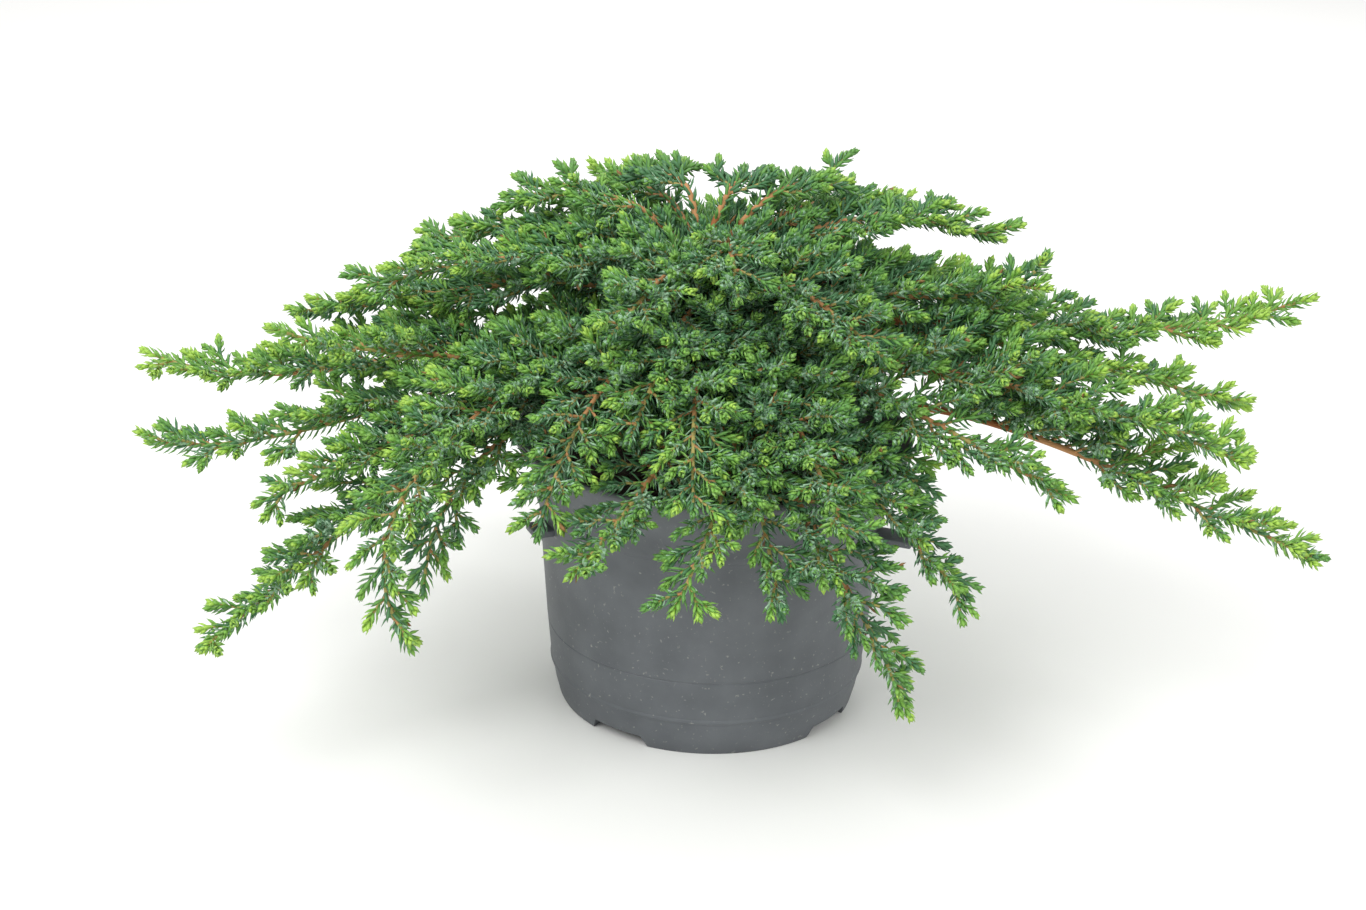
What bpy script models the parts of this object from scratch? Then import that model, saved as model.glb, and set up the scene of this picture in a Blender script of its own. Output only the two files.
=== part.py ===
"""Potted common juniper of a creeping habit, modelled as separate named solids.

Units are metres with +Z up. The origin is the middle of the pot's flat underside, +X is the right
of the plant's front view and -Y is its front. The trunk stands in the filled pot. Each main limb is
a bare bough that leaves the trunk and a mass of foliage that goes on from the bough's tip: one stem
with side shoots, all set with needles. The short limbs of the top have foliage from the trunk on.
"""
from __future__ import annotations

import math
import random
from dataclasses import dataclass, field, replace
from enum import Enum
from itertools import product

import bmesh
import bpy
import numpy as np
from mathutils import Matrix, Vector

MM = 0.001
GAP = 0.0003
MERGE = 0.00001
SEED = 41

# Pot, turned about Z
POT_HEIGHT = 112 * MM
POT_FOOT_RADIUS = 58.8 * MM
POT_SEAM_RADIUS = 62.8 * MM
POT_SEAM_HEIGHT = 15 * MM
POT_RIDGE_RADIUS = 69.3 * MM
POT_RIDGE_HEIGHT = 84 * MM
POT_RIM_RADIUS = 78 * MM
POT_WALL = 1.9 * MM
POT_STEPS = 24
FOOT_HEIGHT = 5 * MM
FOOT_RING_WIDTH = 5 * MM
FOOT_GAP_AZIMUTHS = (-35, 55, 145, 235)
FOOT_GAP_WIDTH = 26 * MM
PAD_RADIUS = 15 * MM
TABS = ((-20, 16 * MM), (203, 8.5 * MM))
TAB_WIDTH = 11 * MM
TAB_THICKNESS = 2.8 * MM
TAB_HEIGHT = 79 * MM

# Growing medium that fills the pot
SOIL_HEIGHT = 97 * MM
SOIL_ROUGHNESS = 1.4 * MM

# Trunk
TRUNK_FOOT = Vector((4 * MM, -2 * MM, SOIL_HEIGHT + GAP))
TRUNK_TIP = Vector((-10 * MM, 6 * MM, 188 * MM))
TRUNK_BOW = 6 * MM
TRUNK_RADIUS = 6.2 * MM
TRUNK_FLARE = 3.2 * MM
TRUNK_TIP_RADIUS = 2.3 * MM

# Limbs and shoots. A needle leans forward by a share of its reach, and a shoot that finds no space is
# tried again, each time a little shorter and narrower
BOUGH_BASE_RADIUS = 2.5 * MM
BOUGH_TIP_RADIUS = 1.7 * MM
STEM_RADIUS = 1.6 * MM
STEM_TIP_RADIUS = 1.2 * MM
TWIG_SIDES = 3
STEM_PITCH = 17 * MM
WHORL_PITCH = 10 * MM
NEEDLE_REACH = 6.0 * MM
NEEDLE_LEAN = 0.93
NEEDLE_SLACK = 0.94
TIP_SPREAD = 0.55
LEAFY_SHARE = 0.26
SHOOT_PITCH = 14 * MM
SHOOTS_ON_LIMB = 6.4
SHOOT_LONGEST = 46 * MM
SHOOT_SHORTEST = 17 * MM
CROWN_TOP = 201 * MM
CROWN_FALL = 2.1
SHOOT_RISE = 7 * MM
ROOT_LENGTH = 6 * MM
SHOOT_ANGLE = 54
SHOOT_TRIES = 24
SHOOT_ORDERS = 12
SHORTER_EACH_TRY = 0.02
NARROWEST_REACH = 0.58
INNER_TILT = 32
BOUGH_SHARE = 0.32
CREST_PLACE = 0.36
PROBE_PITCH = 3 * MM

# How far a limb may be shifted from its plan to clear the others, in degrees and millimetres
TURN_SHIFTS = (0, 3, -3, 6, -6)
SWEEP_SHIFTS = (0, 9, -9, 18, -18)
CREST_SHIFTS = (0, 8, -8, 16, -16)
START_SHIFTS = tuple(range(-30, 31, 3))
TURN_WEIGHT = 12
SWEEP_WEIGHT = 1.2


class Finish(Enum):
    """The plain finishes: base colour (linear RGB), roughness and metallic."""

    POT = ((0.112, 0.120, 0.127), 0.62, 0.0)
    SOIL = ((0.035, 0.022, 0.014), 0.95, 0.0)
    BARK = ((0.230, 0.085, 0.042), 0.85, 0.0)
    TWIG = ((0.420, 0.190, 0.070), 0.80, 0.0)
    NEEDLES = ((0.050, 0.145, 0.062), 0.70, 0.0)


def polar(radius: float, degrees: float, height: float) -> Vector:
    """Return the point at a radius and azimuth about Z, at a height."""
    angle = math.radians(degrees)
    return Vector((radius * math.cos(angle), radius * math.sin(angle), height))


def trunk_point(share: float) -> Vector:
    """Return the trunk's middle at a share of its height, with its lean and bow."""
    point = TRUNK_FOOT.lerp(TRUNK_TIP, share)
    point.x += TRUNK_BOW * math.sin(math.pi * share)
    return point


def trunk_radius(share: float) -> float:
    """Return the trunk's radius at a share of its height: a taper with a root flare at the foot."""
    taper = TRUNK_RADIUS + (TRUNK_TIP_RADIUS - TRUNK_RADIUS) * share
    return taper + TRUNK_FLARE * math.exp(-share * 14)


def effort(shifts: tuple[float, float, float, float]) -> float:
    """Return how far a limb is from its plan when it is shifted in azimuth, sweep, crest and start."""
    turn, sweep, rise, shift = shifts
    return abs(turn) * TURN_WEIGHT + abs(sweep) * SWEEP_WEIGHT + abs(rise) + abs(shift)


@dataclass(frozen=True)
class LimbPlan:
    """One main limb: where its tip is, and the arch that takes it there.

    Heights and lengths are in millimetres and angles in degrees. Azimuth 0 is +X and 90 is +Y, the
    far side. The limb leaves the trunk at the height start, heads for the height crest at a third of
    its reach, swept aside by sweep, and comes to its tip from knee, a share of its reach, at a
    height above the tip of lift. Bough is the share of it that is bare bough; a limb with none has
    foliage from the trunk on.
    """

    name: str
    azimuth: float
    reach: float
    tip: float
    crest: float
    knee: float
    lift: float
    sweep: float
    start: float
    bough: float = 0.0


FRONT_LIMBS = (
    LimbPlan("right_high", 9, 236, 160, 170, 0.70, -24, 6, 150, 0.32),
    LimbPlan("right_upper", -2, 206, 130, 166, 0.68, 14, -8, 140),
    LimbPlan("right_middle", -13, 204, 124, 166, 0.68, 16, 8, 127, 0.30),
    LimbPlan("right_low", -15, 233, 92, 150, 0.66, 16, -10, 115, 0.34),
    LimbPlan("right_front", -30, 150, 118, 160, 0.68, 14, 6, 133),
    LimbPlan("front_right", -44, 130, 84, 150, 0.68, 30, 20, 121),
    LimbPlan("front_sill_left", -136, 98, 108, 146, 0.75, 26, 0, 112),
    LimbPlan("front_sill_right", -36, 100, 106, 144, 0.75, 26, 0, 109),
    LimbPlan("front_hanging", -57, 131, 52, 150, 0.85, 50, 30, 111, 0.30),
    LimbPlan("front_mid_right", -66, 118, 112, 165, 0.72, 20, 0, 143),
    LimbPlan("front_lower_right", -76, 104, 80, 156, 0.90, 44, 12, 126),
    LimbPlan("front_middle", -97, 114, 86, 165, 0.85, 40, -34, 137),
    LimbPlan("front_mid_left", -94, 108, 122, 178, 0.75, 24, 8, 152),
    LimbPlan("front_face_left", -110, 92, 140, 186, 0.70, 14, 0, 158),
    LimbPlan("front_low", -113, 128, 101, 146, 0.68, 10, -14, 118),
    LimbPlan("front_left", -122, 118, 108, 180, 0.80, 36, 10, 129),
    LimbPlan("left_hanging", -134, 153, 67, 165, 1.22, 66, 26, 141),
    LimbPlan("left_shaded", -143, 132, 74, 150, 0.95, 60, 12, 110),
    LimbPlan("left_front", -154, 207, 56, 165, 0.66, 34, 12, 124, 0.34),
    LimbPlan("left_low", -160, 180, 101, 160, 0.70, 18, -6, 114),
    LimbPlan("left_middle", -173, 217, 110, 160, 0.70, -10, -4, 134),
    LimbPlan("left_upper", 177, 225, 133, 166, 0.70, -30, 4, 148, 0.34),
    LimbPlan("left_upright", -166, 170, 163, 150, 0.75, -25, 6, 120),
    LimbPlan("left_top", 172, 168, 146, 185, 0.68, 10, -8, 157),
    LimbPlan("left_crown", -172, 137, 172, 196, 0.68, 8, 4, 163),
    LimbPlan("left_peak", 161, 127, 171, 200, 0.68, 10, 6, 167),
    LimbPlan("peak_left", 155, 94, 193, 211, 0.66, 4, 0, 172),
    LimbPlan("peak_middle", 124, 48, 205, 214, 0.70, 0, 0, 181),
    LimbPlan("peak_far_left", 120, 94, 187, 209, 0.68, 6, 0, 174),
    LimbPlan("peak_right", 78, 42, 206, 212, 0.70, -6, 0, 184),
    LimbPlan("peak_far", 40, 66, 201, 213, 0.68, 4, 0, 178),
    LimbPlan("peak_far_right", 48, 108, 181, 206, 0.68, 8, 0, 170),
    LimbPlan("right_peak", 19, 118, 182, 208, 0.68, 10, 0, 169),
    LimbPlan("right_crown", -2, 124, 189, 180, 0.90, -34, 0, 161),
    LimbPlan("front_crown_left", -120, 80, 172, 200, 0.68, 8, 0, 165),
    LimbPlan("front_crown_middle", -84, 62, 186, 210, 0.68, 6, 0, 173),
    LimbPlan("front_crown_right", -48, 92, 166, 196, 0.68, 8, 0, 160),
    LimbPlan("front_inner_middle", -86, 58, 152, 178, 0.75, 10, 0, 150),
)

# The far side, in the same habit: long low limbs and shorter high ones by turns
FAR_LIMBS = 10
FAR_FIRST_AZIMUTH = 25
FAR_AZIMUTH_STEP = 14.6
FAR_BOUGH_EVERY = 4
FAR_LONG = {"reach": 188, "tip": 104, "crest": 158, "start": 122}
FAR_SHORT = {"reach": 138, "tip": 142, "crest": 180, "start": 146}


def far_limbs(chance: random.Random) -> list[LimbPlan]:
    """Return the limbs of the far side, which the front view hides.

    Args:
        chance: the seeded source of their small differences.

    Returns:
        One plan for each limb, long and short by turns.
    """
    plans = []
    for number in range(FAR_LIMBS):
        tier = FAR_SHORT if number % 2 else FAR_LONG
        plans.append(LimbPlan(
            name=f"far_{number + 1}",
            azimuth=FAR_FIRST_AZIMUTH + number * FAR_AZIMUTH_STEP + chance.uniform(-4, 4),
            reach=tier["reach"] + chance.uniform(-18, 18),
            tip=tier["tip"] + chance.uniform(-16, 16),
            crest=tier["crest"] + chance.uniform(-6, 6),
            knee=0.70,
            lift=chance.uniform(-16, 20),
            sweep=chance.uniform(-12, 12),
            start=tier["start"] + chance.uniform(-8, 8),
            bough=0.0 if number % FAR_BOUGH_EVERY else BOUGH_SHARE,
        ))
    return plans


@dataclass
class Path:
    """A curve through space that can be walked by its length."""

    points: np.ndarray
    lengths: np.ndarray = field(init=False)

    def __post_init__(self) -> None:
        """Measure the way along the points."""
        steps = np.linalg.norm(np.diff(self.points, axis=0), axis=1)
        self.lengths = np.concatenate(([0.0], np.cumsum(steps)))

    @classmethod
    def bezier(cls, start: Vector, first: Vector, second: Vector, end: Vector, count: int = 60) -> "Path":
        """Return the cubic curve between two ends that heads for its two handles."""
        t = np.linspace(0.0, 1.0, count)[:, None]
        knots = [np.array(knot) for knot in (start, first, second, end)]
        curve = ((1 - t) ** 3 * knots[0] + 3 * (1 - t) ** 2 * t * knots[1]
                 + 3 * (1 - t) * t ** 2 * knots[2] + t ** 3 * knots[3])
        return cls(curve)

    @property
    def length(self) -> float:
        """The whole length."""
        return float(self.lengths[-1])

    def spots(self, lengths: np.ndarray) -> np.ndarray:
        """Return the points at some lengths from the start, one row for each."""
        axes = [np.interp(lengths, self.lengths, self.points[:, axis]) for axis in range(3)]
        return np.stack(axes, axis=-1)

    def at(self, length: float) -> Vector:
        """Return the point at a length from the start."""
        return Vector(self.spots(np.array(length)))

    def heading(self, length: float) -> Vector:
        """Return the direction of travel at a length from the start."""
        reach = min(2 * MM, self.length / 4)
        before = max(0.0, length - reach)
        after = min(self.length, length + reach)
        return (self.at(after) - self.at(before)).normalized()

    def part(self, first: float, last: float) -> "Path":
        """Return the stretch between two lengths as a path of its own."""
        count = max(4, round((last - first) / PROBE_PITCH) + 1)
        return Path(self.spots(np.linspace(first, last, count)))


def frames(path: Path, lengths: list[float]) -> list[Matrix]:
    """Return upright frames along a path that turn with it and don't spin about it.

    Args:
        path: the path to follow.
        lengths: where along the path the frames stand.

    Returns:
        One matrix for each length, with Z along the path.
    """
    heading = path.heading(lengths[0])
    side = heading.cross(Vector((0.31, 0.17, 0.93)))
    side.normalize()
    found = []
    for length in lengths:
        turned = path.heading(length)
        side = heading.rotation_difference(turned) @ side
        heading = turned
        side = (side - heading * side.dot(heading)).normalized()
        place = Matrix((side, heading.cross(side), heading)).transposed().to_4x4()
        place.translation = path.at(length)
        found.append(place)
    return found


@dataclass(frozen=True)
class Ring:
    """A cross-section of a twig: how far along it is, its radius, and whether needles follow it."""

    length: float
    radius: float
    leafy: bool


def twig_mesh(path: Path, rings: list[Ring], reach: float, spin: float) -> bmesh.types.BMesh:
    """Return a three-sided twig, extruded ring by ring, with a needle drawn out of each leafy face.

    Args:
        path: the twig's middle line.
        rings: its cross-sections from root to tip.
        reach: how far its needles stand out from the middle line.
        spin: the angle that turns it about its own line.

    Returns:
        One closed mesh.
    """
    mesh = bmesh.new()
    places = frames(path, [ring.length for ring in rings])
    turn = Matrix.Rotation(spin, 4, "Z")
    bmesh.ops.create_circle(mesh, cap_ends=True, segments=TWIG_SIDES, radius=1.0)
    outline = [vert.co.copy() for vert in mesh.verts]
    corners = list(mesh.verts)
    root = mesh.faces[:][0]
    for vert, corner in zip(corners, outline):
        vert.co = places[0] @ turn @ (corner * rings[0].radius)
    root.normal_update()
    if root.normal.dot(path.heading(rings[0].length)) > 0:
        root.normal_flip()
    leafy_faces = []
    for before, ring, place in zip(rings, rings[1:], places[1:]):
        heading = place.to_3x3() @ Vector((0, 0, 1))
        spread = 1.0 if ring.leafy else TIP_SPREAD
        grown = [mesh.verts.new(place @ turn @ (corner * ring.radius)) for corner in outline]
        for index in range(TWIG_SIDES):
            following = (index + 1) % TWIG_SIDES
            side = mesh.faces.new((corners[index], corners[following], grown[following], grown[index]))
            if before.leafy:
                leafy_faces.append((side, heading, spread))
        corners = grown
    mesh.faces.new(corners)
    bmesh.ops.recalc_face_normals(mesh, faces=mesh.faces)
    for side, heading, spread in leafy_faces:
        draw_needle(mesh, side, heading, path, reach * spread)
    return mesh


def draw_needle(mesh: bmesh.types.BMesh, side: bmesh.types.BMFace, heading: Vector, path: Path,
                reach: float) -> None:
    """Poke one side face of a twig and draw its middle outwards and forwards to a needle's tip.

    Args:
        mesh: the twig.
        side: the face, which spans one stretch of one side.
        heading: the twig's direction there.
        path: the twig's middle line.
        reach: how far from the middle line its tip is.
    """
    middle = side.calc_center_median()
    outward = side.normal - heading * side.normal.dot(heading)
    outward.normalize()
    nearest = path.points[np.argmin(np.linalg.norm(path.points - np.array(middle), axis=1))]
    rise = reach - (middle - Vector(nearest)).dot(outward)
    tip = bmesh.ops.poke(mesh, faces=[side])["verts"][0]
    tip.co = middle + outward * rise * NEEDLE_SLACK + heading * reach * NEEDLE_LEAN


def solid_from(mesh: bmesh.types.BMesh, name: str, home: bpy.types.Collection) -> bpy.types.Object:
    """Return an object that holds a built mesh, linked to a collection."""
    data = bpy.data.meshes.new(name)
    mesh.to_mesh(data)
    mesh.free()
    solid = bpy.data.objects.new(name, data)
    home.objects.link(solid)
    return solid


def dress(solid: bpy.types.Object, finish: Finish, smooth: bool) -> None:
    """Give a solid its own material and its shading."""
    colour, roughness, metallic = finish.value
    material = bpy.data.materials.new(solid.name)
    material.use_nodes = True
    shader = material.node_tree.nodes["Principled BSDF"]
    shader.inputs["Base Color"].default_value = (*colour, 1.0)
    shader.inputs["Roughness"].default_value = roughness
    shader.inputs["Metallic"].default_value = metallic
    solid.data.materials.clear()
    solid.data.materials.append(material)
    if smooth:
        solid.data.shade_smooth()
        solid.data.set_sharp_from_angle(angle=math.radians(38))


def evaluated(solid: bpy.types.Object) -> bpy.types.Mesh:
    """Return a solid's mesh with its modifiers worked in."""
    graph = bpy.context.evaluated_depsgraph_get()
    return bpy.data.meshes.new_from_object(solid.evaluated_get(graph))


def bake(solid: bpy.types.Object) -> None:
    """Work a solid's modifiers into its mesh and take them off."""
    data = evaluated(solid)
    solid.modifiers.clear()
    solid.data = data


def tube(name: str, home: bpy.types.Collection, spine: list[tuple[Vector, float]]) -> bpy.types.Object:
    """Return a tapering round limb along a spine of points with radii, with flat welded ends."""
    curve = bpy.data.curves.new(name, "CURVE")
    curve.dimensions = "3D"
    curve.bevel_depth = 1.0
    curve.bevel_resolution = 1
    curve.use_fill_caps = True
    line = curve.splines.new("POLY")
    line.points.add(len(spine) - 1)
    for knot, (place, radius) in zip(line.points, spine):
        knot.co = (*place, 1.0)
        knot.radius = radius
    guide = bpy.data.objects.new(name + "_guide", curve)
    home.objects.link(guide)
    bpy.context.view_layer.update()
    mesh = bmesh.new()
    mesh.from_mesh(evaluated(guide))
    bmesh.ops.remove_doubles(mesh, verts=mesh.verts, dist=MERGE)
    bmesh.ops.recalc_face_normals(mesh, faces=mesh.faces)
    bpy.data.objects.remove(guide)
    return solid_from(mesh, name, home)


def wall_radius(heights: np.ndarray) -> np.ndarray:
    """Return the radius of the middle of the pot's wall at some heights."""
    marks = [0.0, POT_SEAM_HEIGHT, POT_RIDGE_HEIGHT, POT_RIDGE_HEIGHT + 9 * MM, POT_HEIGHT]
    radii = [POT_FOOT_RADIUS, POT_SEAM_RADIUS, POT_RIDGE_RADIUS, POT_RIDGE_RADIUS, POT_RIM_RADIUS - 1 * MM]
    return np.interp(heights, marks, radii) - POT_WALL / 2


class Room:
    """The space that is taken: pot, soil and trunk, and balls along each limb, stem and shoot."""

    def __init__(self) -> None:
        """Start with the trunk and no limbs."""
        self.places = np.zeros((0, 3))
        self.sizes = np.zeros(0)
        self.owners = np.zeros(0, dtype=int)
        shares = np.linspace(0.0, 1.0, 40)
        self.trunk = np.array([trunk_point(share) for share in shares])
        self.girth = np.array([trunk_radius(share) for share in shares])

    def take(self, points: np.ndarray, size: float, owner: int) -> None:
        """Fill the space along a line of points."""
        self.places = np.vstack((self.places, points))
        self.sizes = np.concatenate((self.sizes, np.full(len(points), size)))
        self.owners = np.concatenate((self.owners, np.full(len(points), owner)))

    def fixed_clearance(self, points: np.ndarray, size: float) -> float:
        """Return the least space between a line of points and the trunk, the soil and the pot."""
        apart = np.linalg.norm(points[:, None, :] - self.trunk[None, :, :], axis=2)
        trunk = (apart - self.girth).min()
        spread = np.hypot(points[:, 0], points[:, 1])
        heights = points[:, 2]
        wall = wall_radius(heights)
        beside = np.abs(spread - wall)
        over = np.hypot(spread - wall_radius(np.array(POT_HEIGHT)), heights - POT_HEIGHT)
        pot = np.where(heights < POT_HEIGHT, beside, over).min() - POT_WALL
        soil = np.where(spread < wall, heights - SOIL_HEIGHT, math.inf).min()
        return float(min(trunk, pot, soil) - size - GAP / 2)

    def clearance(self, points: np.ndarray, size: float, owner: int, own: bool = False) -> float:
        """Return the least space between a line of points and what others, or its own mass, took.

        Args:
            points: the middle line of what would be added.
            size: its radius.
            owner: the mass it belongs to.
            own: whether to look at its own mass in place of the others.

        Returns:
            The space in metres, below zero where they would meet.
        """
        seen = (self.owners == owner) if own else (self.owners != owner)
        if not seen.any():
            return math.inf
        apart = np.linalg.norm(points[:, None, :] - self.places[seen][None, :, :], axis=2)
        return float((apart - self.sizes[seen]).min() - size)


@dataclass(frozen=True)
class Shoot:
    """A side shoot: where on its stem it is rooted, its middle line and how far its needles reach."""

    at: float
    path: Path
    reach: float


@dataclass
class Limb:
    """A main limb of the plant, as bough and stem, with the shoots that its stem bears."""

    plan: LimbPlan
    number: int
    path: Path
    chance: random.Random
    shoots: list[Shoot] = field(default_factory=list)

    @classmethod
    def grow(cls, plan: LimbPlan, number: int) -> "Limb":
        """Return the limb that a plan describes, rooted on the trunk's surface."""
        share = (plan.start * MM - TRUNK_FOOT.z) / (TRUNK_TIP.z - TRUNK_FOOT.z)
        middle = trunk_point(share)
        knee_height = (plan.tip + plan.lift) * MM
        first = polar(plan.reach * CREST_PLACE * MM, plan.azimuth - plan.sweep, plan.crest * MM)
        second = polar(plan.reach * plan.knee * MM, plan.azimuth - plan.sweep / 3, knee_height)
        end = polar(plan.reach * MM, plan.azimuth, plan.tip * MM)
        heading = (first - middle).normalized()
        outward = Vector((heading.x, heading.y, 0.0)).normalized()
        radius = BOUGH_BASE_RADIUS if plan.bough else STEM_RADIUS
        standoff = radius * math.sqrt(max(0.0, 1 - heading.dot(outward) ** 2))
        root = middle + outward * (trunk_radius(share) + GAP + standoff)
        return cls(plan, number, Path.bezier(root, first, second, end), random.Random(SEED + 97 * number))

    @property
    def stem_start(self) -> float:
        """The length along the limb where its foliage begins."""
        return self.path.length * self.plan.bough + (GAP if self.plan.bough else 0.0)

    @property
    def leafy_start(self) -> float:
        """The length along the limb from which its stem has needles of its own."""
        return self.path.length - (self.path.length - self.stem_start) * LEAFY_SHARE

    def occupy(self, room: Room) -> None:
        """Take the space of the bough and the stem."""
        for points, size in self.bodies():
            room.take(points, size, self.number)

    def bodies(self) -> list[tuple[np.ndarray, float]]:
        """Return the limb's stretches with the radius that each fills."""
        bare = self.path.part(0.0, self.leafy_start).points
        leafy = self.path.part(self.leafy_start, self.path.length).points
        radius = BOUGH_BASE_RADIUS if self.plan.bough else STEM_RADIUS
        return [(bare, radius + GAP / 2), (leafy, NEEDLE_REACH + GAP / 2)]

    def clear_of(self, room: Room) -> float:
        """Return the least space between this limb and what others have taken."""
        spaces = []
        root = self.path.points[0]
        for points, size in self.bodies():
            away = points[np.linalg.norm(points - root, axis=1) > ROOT_LENGTH]
            spaces.append(room.fixed_clearance(away, size))
        if min(spaces) > 0:
            spaces += [room.clearance(points, size, self.number) for points, size in self.bodies()]
        return min(spaces)

    def try_shoot(self, order: int, room: Room) -> None:
        """Grow the side shoot of an order along the stem where there is space for it."""
        bearing = self.path.length - self.stem_start
        pitch = max(SHOOT_PITCH, bearing / SHOOTS_ON_LIMB)
        at = self.stem_start + pitch * (order + 0.6)
        if at > self.leafy_start:
            rings = leafy_rings(self.leafy_start, self.path.length, STEM_TIP_RADIUS, NEEDLE_REACH)
            at = min((ring.length for ring in rings[:-1]), key=lambda mark: abs(mark - at))
        if at > self.path.length - SHOOT_SHORTEST:
            return
        share = (at - self.stem_start) / bearing
        longest = SHOOT_LONGEST + (SHOOT_SHORTEST - SHOOT_LONGEST) * share
        heading = self.path.heading(at)
        root = self.path.at(at)
        level = heading.cross(Vector((0, 0, 1))).normalized()
        above = level.cross(heading)
        hand = 1 if (order + self.number) % 2 else -1
        for attempt in range(SHOOT_TRIES):
            tilt = math.radians(self.chance.uniform(-14, 46 + 5 * attempt) + INNER_TILT * (1 - share))
            turn = math.radians(SHOOT_ANGLE + self.chance.uniform(-8, 8 + attempt))
            length = longest * self.chance.uniform(0.82, 1.08) * (1 - SHORTER_EACH_TRY * attempt)
            reach = NEEDLE_REACH * (1 - (1 - NARROWEST_REACH) * attempt / SHOOT_TRIES)
            aside = (level * hand * math.cos(tilt) + above * math.sin(tilt)).normalized()
            out = heading * math.cos(turn) + aside * math.sin(turn)
            bent = root + out * length * 0.55
            end = bent + (out * 0.62 + heading * 0.38).normalized() * length * 0.45
            shoot = Path.bezier(root, root.lerp(bent, 0.6), bent, end, 16)
            probe = shoot.part(0.0, shoot.length).points
            own = probe[np.linalg.norm(probe - np.array(root), axis=1) > 2.4 * reach]
            roof = max(CROWN_TOP - CROWN_FALL * (end.x ** 2 + end.y ** 2), root.z + SHOOT_RISE)
            if end.z > roof or room.fixed_clearance(probe, reach) < 0:
                continue
            if room.clearance(probe, reach + GAP / 2, self.number) < 0:
                continue
            if len(own) and room.clearance(own, reach * 0.6, self.number, own=True) < 0:
                continue
            self.shoots.append(Shoot(at, shoot, reach))
            room.take(probe, reach + GAP / 2, self.number)
            return

    def build_bough(self, home: bpy.types.Collection) -> bpy.types.Object:
        """Return the bare bough as a solid."""
        last = self.path.length * self.plan.bough
        count = max(3, round(last / STEM_PITCH))
        spine = []
        for index in range(count + 1):
            share = index / count
            radius = BOUGH_BASE_RADIUS + (BOUGH_TIP_RADIUS - BOUGH_BASE_RADIUS) * share
            spine.append((self.path.at(last * share), radius))
        return tube(f"bough_{self.plan.name}", home, spine)

    def stem_rings(self) -> list[Ring]:
        """Return the cross-sections of the stem: bare at first, then a whorl of needles at each."""
        bare = self.leafy_start - self.stem_start
        marks = {self.stem_start} | {shoot.at for shoot in self.shoots if shoot.at < self.leafy_start}
        rings = []
        for at in sorted(marks):
            radius = STEM_RADIUS + (STEM_TIP_RADIUS - STEM_RADIUS) * (at - self.stem_start) / bare
            if rings and at - rings[-1].length > 1.5 * STEM_PITCH:
                rings.append(Ring((at + rings[-1].length) / 2, radius, False))
            rings.append(Ring(at, radius, False))
        if self.leafy_start - rings[-1].length > 1.5 * STEM_PITCH:
            rings.append(Ring((self.leafy_start + rings[-1].length) / 2, STEM_TIP_RADIUS, False))
        return rings + leafy_rings(self.leafy_start, self.path.length, STEM_TIP_RADIUS, NEEDLE_REACH)

    def build_mass(self, home: bpy.types.Collection, loose: bpy.types.Collection) -> bpy.types.Object:
        """Return the limb's mass of foliage: its stem joined with its shoots."""
        name = f"foliage_{self.plan.name}"
        spin = self.chance.uniform(0, 6)
        mass = solid_from(twig_mesh(self.path, self.stem_rings(), NEEDLE_REACH, spin), name, home)
        root = Ring(0.0, STEM_TIP_RADIUS * 0.8, False)
        for order, shoot in enumerate(self.shoots):
            length = shoot.path.length
            rings = [root] + leafy_rings(STEM_RADIUS * 1.5, length, STEM_TIP_RADIUS * 1.15, shoot.reach)
            spin = self.chance.uniform(0, 6)
            solid_from(twig_mesh(shoot.path, rings, shoot.reach, spin), f"{name}_{order}", loose)
        join_all(mass, loose)
        return mass


def leafy_rings(first: float, last: float, radius: float, reach: float) -> list[Ring]:
    """Return the cross-sections of a stretch that is set with needles, down to its pointed tip."""
    pitch = WHORL_PITCH * math.sqrt(reach / NEEDLE_REACH)
    count = max(2, round((last - first) / pitch))
    rings = [Ring(first + (last - first) * index / count, radius, True) for index in range(count)]
    return rings + [Ring(last, radius * 0.35, False)]


def join_all(solid: bpy.types.Object, loose: bpy.types.Collection) -> None:
    """Join a solid with every object of a collection, and remove those objects."""
    if loose.objects:
        union = solid.modifiers.new("Union", "BOOLEAN")
        union.operation = "UNION"
        union.operand_type = "COLLECTION"
        union.collection = loose
        bpy.context.view_layer.update()
        bake(solid)
    for operand in list(loose.objects):
        bpy.data.objects.remove(operand)


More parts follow.
